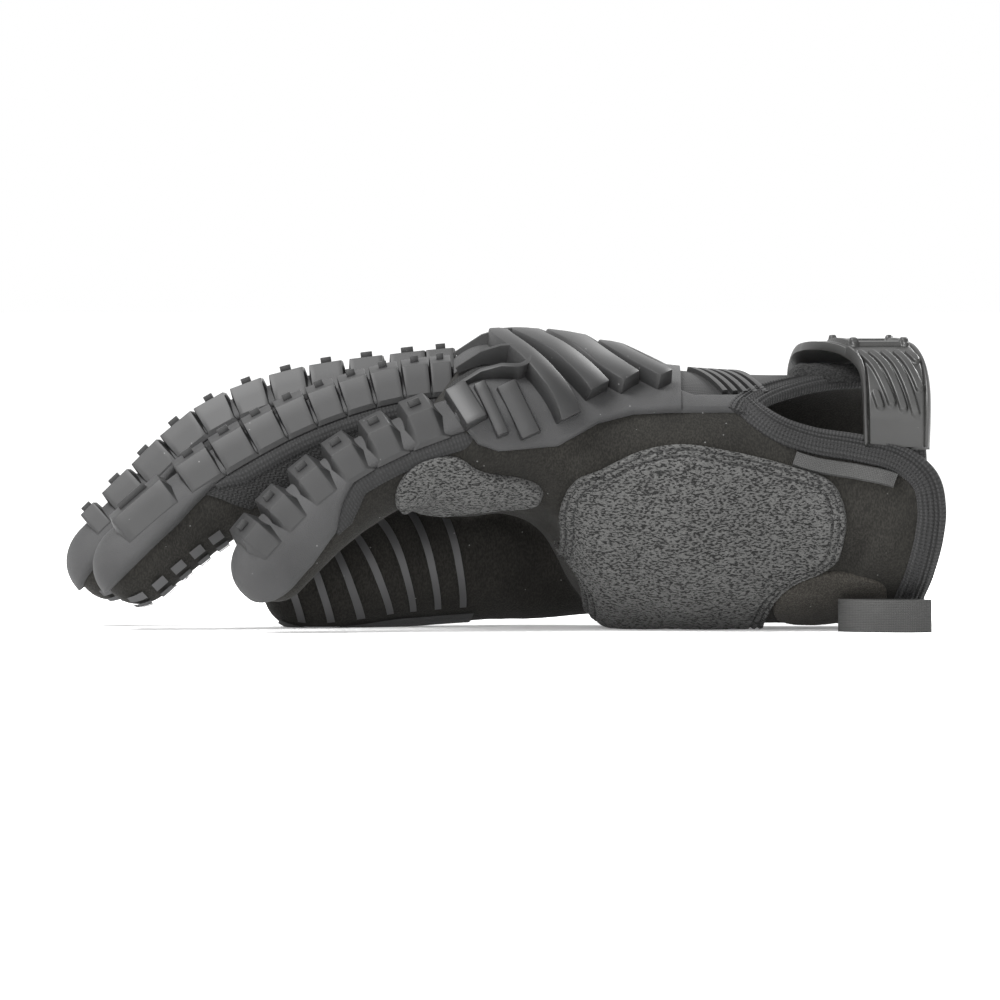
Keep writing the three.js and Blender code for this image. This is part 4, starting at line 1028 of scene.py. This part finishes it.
@dataclass
class FingerGuards:
    """The moulded finger guards: saddles, treads with studs, tip blocks, and the cloth beside them."""

    # Places along the hand of each tread's top, from the tip
    treads: dict[str, tuple[float, ...]] = field(default_factory=lambda: {
        "little": (0.2106, 0.2399, 0.2759, 0.3142, 0.357, 0.4032),
        "ring": (0.1453, 0.1858, 0.2218, 0.2579, 0.2939, 0.33, 0.366, 0.402, 0.431),
        "middle": (0.0597, 0.0923, 0.1273, 0.1667, 0.2095, 0.2545, 0.3007, 0.3468, 0.393, 0.431),
        "index": (0.13, 0.165, 0.203, 0.243, 0.285, 0.328, 0.372, 0.416)})
    # Share of the line and degrees of the saddle's lower edge
    edges: dict[str, Table] = field(default_factory=lambda: {
        "little": Table(((0.0, 150), (0.5, 150), (0.58, 168), (0.66, 192), (0.8, 203), (1.0, 206))),
        "other": Table(((0.0, 150), (0.6, 150), (0.68, 156), (0.78, 168), (1.0, 174)))})

    def edge(self, digit: Digit, share: Array, side: int) -> Array:
        """The angle of the saddle's edge on the near (-1) or far side."""
        table = self.edges["little" if digit is LITTLE and side < 0 else "other"]
        angle = np.radians(table.line(share))
        return angle if side < 0 else math.pi - angle

    def saddle(self, digit: Digit) -> bpy.types.Object:
        """The thin moulded base of one guard, over the fingertip too."""
        start = 1 - digit.depth * digit.dome / digit.whole
        dome = start + (1 - start) * np.sin(np.radians(np.linspace(3, 86, 22)))
        share = np.concatenate([np.linspace(0.02, start, 80), dome])
        turn = np.linspace(0, 1, 61)
        angle = mix(self.edge(digit, share, 1)[:, None], self.edge(digit, share, -1)[:, None], turn)
        rim = np.minimum(np.minimum(turn, 1 - turn) * 14, 1)
        grow = 0.1 * MM + 1.6 * MM * np.sqrt(1 - (1 - rim) ** 2)
        points, normals = digit.at(share[:, None], angle, grow[None, :])
        return laid(f"saddle_{digit.name}", points, normals)

    def tread(self, digit: Digit, share: float, length: float, top: float, tall: float, wide: float
              ) -> bpy.types.Object:
        """One tread: a moulded block with a flat top and flat sloping sides.

        Args:
            digit: the finger.
            share: the middle's place on the finger's line.
            length: length at the foot, in metres.
            top: length of the top as a share of the foot.
            tall: height in metres.
            wide: degrees from the middle to the lower edge.

        Returns:
            The block.
        """
        half = length / 2 / digit.whole
        folds = np.array((-1.0, -3 / 7, 3 / 7, 1.0))

        def corner(u: float, w: int) -> Array:
            """The four corners across at one end, at the foot or at the top."""
            angle = math.pi / 2 + np.radians(wide * folds * (0.9 if w else 1.0))
            height = 1.2 * MM + w * tall * np.array((0.2, 1.12, 1.12, 0.2))
            return digit.at(share + u * half * (top if w else 1.0), angle, height)[0]

        corners = [[corner(u, w) for w in (0, 1)] for u in (-1.0, 1.0)]

        def place(u: Array, v: Array, w: Array) -> Array:
            """A point between the corners, on flat faces."""
            s, t = ((u + 1) / 2)[:, None], ((w + 1) / 2)[:, None]
            rows = [[np.stack([np.interp(v, folds, c[:, k]) for k in range(3)], -1) for c in pair]
                    for pair in corners]
            return mix(mix(rows[0][0], rows[0][1], t), mix(rows[1][0], rows[1][1], t), s)

        return block("tread", place, 6, 0.28 * MM)

    def stud(self, digit: Digit, share: float, length: float, width: float, tall: float
             ) -> Callable[[Array, Array, Array], Array]:
        """The place of a small flat stud on a tread's top, 0.7 mm above it.

        Args:
            digit: the finger.
            share: the stud's place on the finger's line.
            length: its length along the finger.
            width: its width across.
            tall: the tread's height.

        Returns:
            The function that places the stud's block.
        """
        spots = np.array((share - 0.01, share, share + 0.01))
        ends, _ = digit.at(spots, math.pi / 2, 1.2 * MM + tall * 1.02)
        way = unit(ends[2] - ends[0])
        aside = unit(np.cross(way, (0.0, 0.0, 1.0)))
        up = np.cross(aside, way)

        def place(u: Array, v: Array, w: Array) -> Array:
            """A point of the stud's flat block."""
            return (ends[1] + u[:, None] * way * length / 2 + v[:, None] * aside * width / 2
                    + (w[:, None] - 0.3) * up * 0.9 * MM)

        return place

    def build(self, digit: Digit) -> None:
        """One finger's guard and the cloth beside it."""
        little = digit is LITTLE
        saddle = dressed(self.saddle(digit), FLANGE)
        saddle.name = f"guard_base_{digit.name}"
        tops = self.treads[digit.name]
        shares = [digit.share_at(along, math.radians(94), 5 * MM) for along in tops]
        parts = []
        for k, share in enumerate(shares):
            near = abs(shares[max(k - 1, 0)] - share) or abs(shares[1] - share)
            pitch = min(near * digit.whole, 12 * MM)
            top = 0.58 if little else 0.86
            parts.append(self.tread(digit, share, pitch * 0.97, top, TREAD_HEIGHT, 62))
            stud = self.stud(digit, share, pitch * 0.3, 2.4 * MM, TREAD_HEIGHT)
            parts.append(block("stud", stud, 1, 0.15 * MM))
        if not little:
            first = shares[0] + 7.5 * MM / digit.whole
            middle = (first + 0.9) / 2
            length = (0.9 - first) * digit.whole
            parts.append(self.tread(digit, middle, length, 0.84, 3.6 * MM, 60))
            tip_stud = self.stud(digit, middle, length * 0.5, 1.6 * MM, 3.6 * MM)
            parts.append(block("stud", tip_stud, 1, 0.15 * MM))
        treads = joined(f"guard_treads_{digit.name}", parts)
        dressed(treads, RUBBER, f"finger_guard_{digit.name}", angle=24)
        self.cloth(digit)

    def cloth(self, digit: Digit) -> None:
        """Ribbed hems under the guard, and the mesh between the fingers."""
        for side, word in ((-1, "near"), (1, "far")):
            share = np.linspace(0.0, 0.66, 110)
            turn = np.linspace(0, 1, 17)
            upper = self.edge(digit, share, side)
            lower = upper - side * np.radians(24) * np.minimum(1, (0.68 - share) * 12)
            angle = mix(upper[:, None] + side * 0.05, lower[:, None], turn)
            grow = 0.45 * MM + 0.55 * MM * np.sin(turn * math.pi) ** 0.5
            points, normals = digit.at(share[:, None], angle, grow[None, :])
            dressed(laid(f"hem_{digit.name}_{word}", points, normals), HEM)
            if (digit is LITTLE and side < 0) or (digit is INDEX and side > 0):
                continue
            end = Table(((0.0, 0.70), (1.0, 0.62))).line(turn)
            share = end[None, :] * np.linspace(0, 1, 120)[:, None]
            low = np.radians(206) if side < 0 else math.pi - np.radians(206)
            angle = mix(self.edge(digit, 0.3, side), low, turn[None, :] + 0 * share)
            points, normals = digit.at(share, angle, 0.42 * MM)
            dressed(laid(f"mesh_{digit.name}_{word}", points, normals), MESH)


@dataclass
class KnuckleGuard:
    """The moulded guard over the knuckles: its base, slanted ribs and slot collars."""

    # Along and up of the base's lower edge
    low: Table = Table(((0.452, 0.70), (0.474, 0.622), (0.497, 0.599), (0.564, 0.615), (0.609, 0.6875),
                        (0.649, 0.717), (0.694, 0.722), (0.775, 0.722)))
    # Along at the top and at the foot, up at the foot, width at the top and at the foot
    ribs: tuple[tuple[float, ...], ...] = (
        (0.497, 0.573, 0.70, 1.15, 1.35), (0.527, 0.606, 0.765, 1.7, 1.5),
        (0.571, 0.645, 0.785, 2.4, 1.45), (0.621, 0.684, 0.79, 1.5, 1.15))
    # Along and up at both ends, and width
    side_ribs: tuple[tuple[float, ...], ...] = (
        (0.453, 0.785, 0.474, 0.685, 1.3), (0.477, 0.80, 0.501, 0.65, 0.7),
        (0.505, 0.80, 0.5315, 0.65, 1.15))
    slot_end: float = 0.512
    slot_half: float = 3.6 * MM

    def base(self) -> bpy.types.Object:
        """The base with its slots, and the bands beside the back of the hand."""
        along = np.linspace(0.452, 0.702, 150)
        turn = np.linspace(0, 1, 301)
        near = HAND.angle_at(along, self.low.line(along), -1)[:, None]
        far = HAND.angle_at(along, self.low.line(along), 1)[:, None]
        rim = np.minimum(np.minimum(turn, 1 - turn) * 45, 1)
        grow = 0.1 * MM + 1.75 * MM * np.sqrt(1 - (1 - rim) ** 2)
        points, normals = HAND.at(along[:, None], mix(far, near, turn), grow[None, :])
        plate = laid("plate", points, normals)
        across = points[..., 1].ravel()
        front = np.broadcast_to(along[:, None], points.shape[:2]).ravel()
        high = points[..., 2].ravel() > 0.6 * HAND_HEIGHT
        cut = np.zeros(len(across), bool)
        for middle in self.slots():
            inside = np.abs(across - middle) < self.slot_half
            cut |= inside & high & (front < self.slot_end)
        only(plate)
        bpy.ops.object.mode_set(mode="EDIT")
        bpy.ops.mesh.select_mode(type="VERT")
        bpy.ops.mesh.select_all(action="DESELECT")
        bpy.ops.object.mode_set(mode="OBJECT")
        plate.data.vertices.foreach_set("select", cut)
        bpy.ops.object.mode_set(mode="EDIT")
        bpy.ops.mesh.delete(type="VERT")
        bpy.ops.object.mode_set(mode="OBJECT")
        bands = []
        for side in (-1, 1):
            along = np.linspace(0.69, 0.776, 60)
            turn = np.linspace(0, 1, 25)
            low = HAND.angle_at(along, 0.722 + 0 * along, side)[:, None]
            high = HAND.angle_at(along, 0.775 + 0.03 * smooth((0.72 - along) * 30), side)[:, None]
            rim = np.minimum(np.minimum(turn, 1 - turn) * 6, 1)
            grow = 0.1 * MM + 1.2 * MM * rim ** 0.5
            points, normals = HAND.at(along[:, None], mix(low, high, turn), grow)
            bands.append(laid("band", points, normals))
        return joined("knuckle_base", [plate, *bands])

    def slots(self) -> list[float]:
        """Places across of the slots between the fingers."""
        pairs = zip(FINGERS, FINGERS[1:])
        middles = [(a.line[0][1] + b.line[0][1]) / 2 * HAND_WIDTH for a, b in pairs]
        return [middles[0] - 11.5 * MM, middles[1], middles[2]]

    def bar(self, along: Array, angle: Array, width: Array, tall: Array, straight: bool = False
            ) -> bpy.types.Object:
        """A rib with rounded edges laid on the base.

        Args:
            along: places of its middle line along the hand.
            angle: angles of the line in radians.
            width: width at each place.
            tall: height at each place.
            straight: whether the rib is a straight block instead of bending with the base.

        Returns:
            The rib.
        """
        points, normals = HAND.at(along, angle, GUARD_FACE)
        if straight:
            points = mix(points[0], points[-1], np.linspace(0, 1, len(points))[:, None])
            normals = np.broadcast_to(unit(normals.mean(0) * (0.1, 1.25, 1)), points.shape)
        rib = swept("rib", points, normals, BAR, width, tall)
        return modified(rib, "BEVEL", width=0.45 * MM, segments=2, limit_method="ANGLE",
                        angle_limit=math.radians(40))

    def build(self) -> None:
        """The base, the ribs and the collars."""
        dressed(self.base(), FLANGE)
        parts, knits = [], []
        for top, foot, up, wide_top, wide_foot in self.ribs:
            near = float(HAND.angle_at(foot, up, -1))
            far = float(HAND.angle_at(foot, up, 1))
            for start, end in ((math.pi / 2, near), (far, math.pi / 2)):
                angle = np.linspace(start, end, 26)
                low = near if end == near else far
                floor = math.sin(low)
                rise = np.clip((np.sin(angle) - floor) / (1 - floor), 0, 1)
                along = mix(foot, top, rise)
                width = RIB_WIDTH * mix(wide_foot, wide_top, rise)
                parts.append(self.bar(along, angle, width, RIB_HEIGHT))
        for side in (-1, 1):
            for top, up_top, foot, up_foot, wide in self.side_ribs:
                t = np.linspace(0, 1, 8)
                along = mix(top, foot, t)
                angle = HAND.angle_at(along, mix(up_top, up_foot, t), side)
                width, tall = RIB_WIDTH * wide, RIB_HEIGHT * 0.85
                parts.append(self.bar(along, angle, width, tall, straight=True))
        for middle in self.slots():
            half = self.slot_half + 0.7 * MM
            arc = np.linspace(-math.pi / 2, math.pi / 2, 15)
            x = np.concatenate([[0.456, 0.48, 0.5], self.slot_end + half * np.cos(arc) / HAND_LENGTH,
                                [0.5, 0.48, 0.456]])
            y = middle + np.concatenate([[-half] * 3, half * np.sin(arc), [half] * 3])
            points, normals = HAND.at(x, HAND.angle_over(x, y), GUARD_FACE)
            tall = mix(1.2 * MM, RIB_HEIGHT, smooth((x - 0.456) / 0.05))
            parts.append(swept("collar", points, normals, BAR, 1.8 * MM, tall))
            x = np.linspace(0.44, self.slot_end + 0.01, 40)[:, None]
            y = np.linspace(-half, half, 16)[None, :]
            points, normals = HAND.at(x, HAND.angle_over(x, middle + y), 0.5 * MM)
            knits.append(laid("slot_knit", points, normals))
        dressed(joined("slot_knits", knits), MESH)
        dressed(joined("knuckle_ribs", parts), RUBBER, "knuckle_guard")


@dataclass
class Cuff:
    """The cuff: ribbed binding, knit back, relief, closure pad, strap, label tab and pull loop."""

    width: float = 7.6 * MM
    # Turn round the wrist, degrees, front and back edge along, share on the pad, stand-off
    strap: Table = Table((
        (0.0, 158, 0.908, 0.982, 0.0, -0.6), (0.12, 146, 0.908, 0.984, 0.0, 0.35),
        (0.24, 134, 0.907, 0.984, 0.0, 0.8), (0.36, 122, 0.902, 0.98, 0.0, 1.05),
        (0.48, 110, 0.882, 0.971, 0.0, 1.15), (0.6, 98, 0.853, 0.961, 0.5, 0.85),
        (0.7, 86, 0.835, 0.954, 1.0, 0.45), (0.8, 72, 0.828, 0.948, 1.0, 0.2),
        (0.9, 56, 0.826, 0.944, 1.0, 0.03), (1.0, 42, 0.828, 0.942, 1.0, 0.0)))
    # From turn and side to turn and side
    bars: tuple[tuple[float, ...], ...] = (
        (0.41, 0.12, 0.16, 0.43), (0.41, 0.29, 0.14, 0.6), (0.41, 0.46, 0.12, 0.78),
        (0.41, 0.63, 0.22, 0.84), (0.41, 0.8, 0.36, 0.86), (0.2, 0.2, 0.15, 0.26),
        (0.5, 0.22, 0.5, 0.86), (0.66, 0.3, 0.66, 0.86), (0.49, 0.22, 0.67, 0.3),
        (0.49, 0.86, 0.67, 0.86), (0.44, 0.02, 0.02, 0.02))

    def binding(self) -> None:
        """The ribbed binding over the edge of the cuff and round its notch."""
        back, palm = cuff_branches()
        branches = []
        for k, route in enumerate((back, palm)):
            if k == 0:
                route = np.vstack([[[0.766, math.radians(138)]], route])
            path = evenly(spline(route * (1.0, 0.2), 30), 340) / (1.0, 0.2)
            points, normals = HAND.at(path[:, 0], path[:, 1], -0.55 * MM)
            turn = np.linspace(0, 2 * math.pi, 73)[:-1]
            x, y = rounded(turn, 3.0)
            rib = 1 + 0.13 * np.cos(x * math.pi * 6) * (y > 0.2)
            section = np.stack([x * 0.5, np.where(y > 0, y * 2.1 * rib, y * 2.2) * MM / self.width], -1)
            branches.append(swept("branch", points, normals, section, self.width, self.width))
        dressed(joined("binding", branches), BINDING, "cuff_binding", angle=60)

    def back(self) -> None:
        """The knit back of the hand with its raised chevrons, and the pile pad of the wrist."""
        turn = np.linspace(0, 1, 120)
        start = 0.66 + 0 * turn
        angle = mix(HAND.angle_at(0.72, 0.76, 1), HAND.angle_at(0.72, 0.76, -1), turn)
        along = mix(start, cuff_edge(angle) - 0.004, np.linspace(0, 1, 110)[:, None])
        points, normals = HAND.at(along, angle[None, :], 0.5 * MM)
        dressed(laid("knit_back", points, normals), HEM)
        lines = []
        for k in range(5):
            side = np.linspace(-1, 1, 21)
            place = mix(0.714, 0.752, np.abs(side)) + k * 0.0115
            points, normals = HAND.at(place, np.radians(90 - side * 34), 0.6 * MM)
            lines.append(swept("line", points, normals, BAR, 1.7 * MM, 1.1 * MM))
        dressed(joined("back_chevrons", lines), RUBBER, "back_relief")
        angle = np.radians(np.linspace(55, 108, 90))
        along = np.linspace(0.826, 0.938, 80)
        shares = (np.linspace(0, 1, 80), np.linspace(0, 1, 90))
        rim = [np.minimum(np.minimum(t, 1 - t) * 9, 1) for t in shares]
        grow = 3.4 * MM * np.sqrt(rim[0][:, None] * rim[1][None, :])
        points, normals = HAND.at(along[:, None], angle[None, :], grow)
        points += normals * (Grain(5).at(points, 0.7 * MM) * 0.35 * MM)[..., None]
        dressed(laid("wrist_pile", points, normals), PILE, "closure_pad", angle=60)

    def strap_at(self, turn: Array, side: Array, lift: Array) -> tuple[Array, Array]:
        """Points of the strap's under side, lifted."""
        around, front, back, pad, off = (self.strap.read(turn, k) for k in range(1, 6))
        carrier = mix(1.7 * MM, 3.75 * MM, pad) + SEAM_GAP
        return HAND.at(mix(front, back, side), np.radians(around), carrier + off * 5.4 * MM + lift)

    def wrist_strap(self) -> None:
        """The moulded wrist strap with its border, ribs and bare frame."""
        turn, side = np.linspace(0, 1, 380)[:, None], np.linspace(0, 1, 110)[None, :]
        turn, side = np.broadcast_arrays(turn, side)
        points, normals = self.strap_at(turn, side, 0 * turn)
        lift = np.full(turn.shape, 2.2 * MM)
        for a, b, c, d in self.bars:
            t = np.linspace(0, 1, 10)
            line = self.strap_at(mix(a, c, t), mix(b, d, t), 0 * t)[0]
            gap = np.full(turn.shape, 1.0)
            for p, q in zip(line, line[1:]):
                way = q - p
                share = np.clip(((points - p) @ way) / (way @ way), 0, 1)
                gap = np.minimum(gap, np.linalg.norm(points - p - share[..., None] * way, axis=-1))
            lift += 0.95 * MM * (1 - smooth((gap / MM - 0.75) / 0.5))
        border = np.minimum(side, 1 - side) * 19 * MM
        lift -= 0.5 * MM * np.exp(-((border / MM - 1.6) / 0.3) ** 2)
        lift *= np.sqrt(np.clip(np.minimum(border / (0.5 * MM), 1), 0.02, 1))
        outer = points + normals * lift[..., None]
        closed = np.concatenate([outer, points[:, ::-1], outer[:, :1]], axis=1)
        dressed(tidied(laid("wrist_strap", closed)), STRAP, "closure_strap", angle=50)

    def trim(self) -> None:
        """The bare label tab and the webbing pull loop."""
        along = np.linspace(0.830, 0.944, 40)
        edge = Table(PALM_EDGE).read(along - 0.004, 1) - 6.4 * MM / HAND_HEIGHT
        points, normals = HAND.at(along, HAND.angle_at(along, edge, -1), 0.3 * MM)
        tab = swept("label_fold", points, normals, BAR, 4.2 * MM, 1.1 * MM)
        dressed(tab, WEBBING, "label_tab")
        rows = np.array([(0.885, -0.268), (0.935, -0.275), (0.975, -0.305), (0.984, -0.345),
                         (0.968, -0.368), (0.93, -0.355), (0.893, -0.31)])
        flat = (rows - (0.5, 0)) * (HAND_LENGTH, HAND_WIDTH)
        path = evenly(spline(np.hstack([flat, np.zeros((7, 1))]), 30, True), 160, True)
        path[:, 2] = 4.3 * MM
        section = np.array([(-0.5, -0.5), (0.5, -0.5), (0.5, 0.5), (-0.5, 0.5)])
        way = unit(np.roll(path, -1, 0) - np.roll(path, 1, 0))
        normal = np.cross(way, (0.0, 0.0, 1.0))
        loop = swept("webbing_loop", path, normal, section, 8.6 * MM, 1.2 * MM, closed=True)
        dressed(loop, WEBBING, "pull_loop")

    def build(self) -> None:
        """All pieces of the cuff."""
        self.back()
        self.binding()
        self.wrist_strap()
        self.trim()


@dataclass
class ThumbTrim:
    """Pale printed stripes on the thumb and the smooth strip under it."""

    stripes: tuple[float, ...] = (0.92, 0.855, 0.79, 0.725, 0.66, 0.595, 0.53)

    def build(self) -> None:
        """The stripes and the strip."""
        parts = []
        for share in self.stripes:
            turn = np.linspace(0, 1, 40)
            angle = np.radians(mix(118, 226, turn))[:, None]
            middle = share + 0.035 * (1 - turn[:, None]) ** 1.5
            spot = middle + np.linspace(-1, 1, 7)[None, :] * 0.95 * MM / THUMB.whole
            points, normals = THUMB.at(spot, angle, 0.55 * MM)
            parts.append(laid("stripe", points, normals))
        dressed(joined("thumb_stripes", parts), STRIPE)
        self.grips()
        share = np.linspace(0.5, 0.97, 80)[:, None]
        angle = np.radians(np.linspace(236, 285, 24))[None, :]
        points, normals = THUMB.at(share, angle, 0.6 * MM)
        points[..., 2] = np.maximum(points[..., 2], 0)
        dressed(laid("thumb_strip", points, normals), FLANGE)


    def grips(self) -> None:
        """The small printed blocks under the ends of the fingers."""
        parts = []
        for digit in (RING, MIDDLE, INDEX):
            for k in range(5):
                for turn in (205, 231, 257):
                    share = 0.71 + 0.058 * k + np.linspace(0, 0.034, 7)[:, None]
                    angle = np.radians(np.linspace(turn, turn + 16, 9))[None, :]
                    points, normals = digit.at(share, angle, 0.75 * MM)
                    parts.append(laid("print", points, normals))
        dressed(joined("fingertip_prints", parts), STRIPE)


@dataclass
class Studio:
    """The pale floor, the soft lights and the camera."""

    distance: float = 4.0
    frame_width: float = 0.2635
    elevation: float = 1.5
    target: tuple[float, float, float] = (0.0002, -0.03, 0.0348)

    def light(self, name: str, place: tuple[float, float, float], size: float, watts: float) -> None:
        """A soft square light that faces the glove."""
        bpy.ops.object.light_add(type="AREA", location=place)
        lamp = bpy.context.object
        lamp.name = name
        lamp.data.size = size
        lamp.data.energy = watts
        lamp.rotation_euler = (Vector((0, 0, 0.04)) - Vector(place)).to_track_quat("-Z", "Y").to_euler()

    def build(self) -> None:
        """Everything round the glove."""
        bpy.ops.object.select_all(action="DESELECT")
        bpy.ops.mesh.primitive_plane_add(size=12, location=(0, 0, 0))
        floor = bpy.context.object
        floor.name = "floor"
        paper = bpy.data.materials.new("pale paper")
        paper.use_nodes = True
        sockets = paper.node_tree.nodes["Principled BSDF"].inputs
        sockets["Base Color"].default_value = (0.95, 0.95, 0.95, 1)
        sockets["Roughness"].default_value = 0.9
        sockets["Emission Color"].default_value = (1, 1, 1, 1)
        sockets["Emission Strength"].default_value = 0.2
        floor.data.materials.append(paper)
        self.light("key", (-0.45, -0.3, 0.8), 0.45, 15)
        self.light("front", (-0.3, -1.4, 0.5), 0.8, 9)
        self.light("rim", (0.5, 0.6, 0.6), 0.3, 9)
        world = bpy.data.worlds.new("studio")
        world.use_nodes = True
        sockets = world.node_tree.nodes["Background"].inputs
        sockets["Color"].default_value = (1, 1, 1, 1)
        sockets["Strength"].default_value = 1.0
        bpy.context.scene.world = world
        bpy.context.scene.view_settings.view_transform = "Standard"
        rise = math.radians(self.elevation)
        spot = Vector(self.target) + Vector((0, -math.cos(rise), math.sin(rise))) * self.distance
        bpy.ops.object.camera_add(location=spot, rotation=(math.pi / 2 - rise, 0, 0))
        camera = bpy.context.object
        camera.data.lens = 36 * self.distance / self.frame_width
        camera.data.clip_end = 100
        bpy.context.scene.camera = camera


def main() -> None:
    """Builds the glove and its studio."""
    logging.basicConfig(level=logging.INFO, format="%(name)s: %(message)s")
    Studio().build()
    skin = Skin()
    outer = skin.build()
    skin.lining()
    Pads(BVHTree.FromObject(outer, bpy.context.evaluated_depsgraph_get())).build()
    guards = FingerGuards()
    for digit in FINGERS:
        guards.build(digit)
    KnuckleGuard().build()
    Cuff().build()
    ThumbTrim().build()


if __name__ == "__main__":
    main()
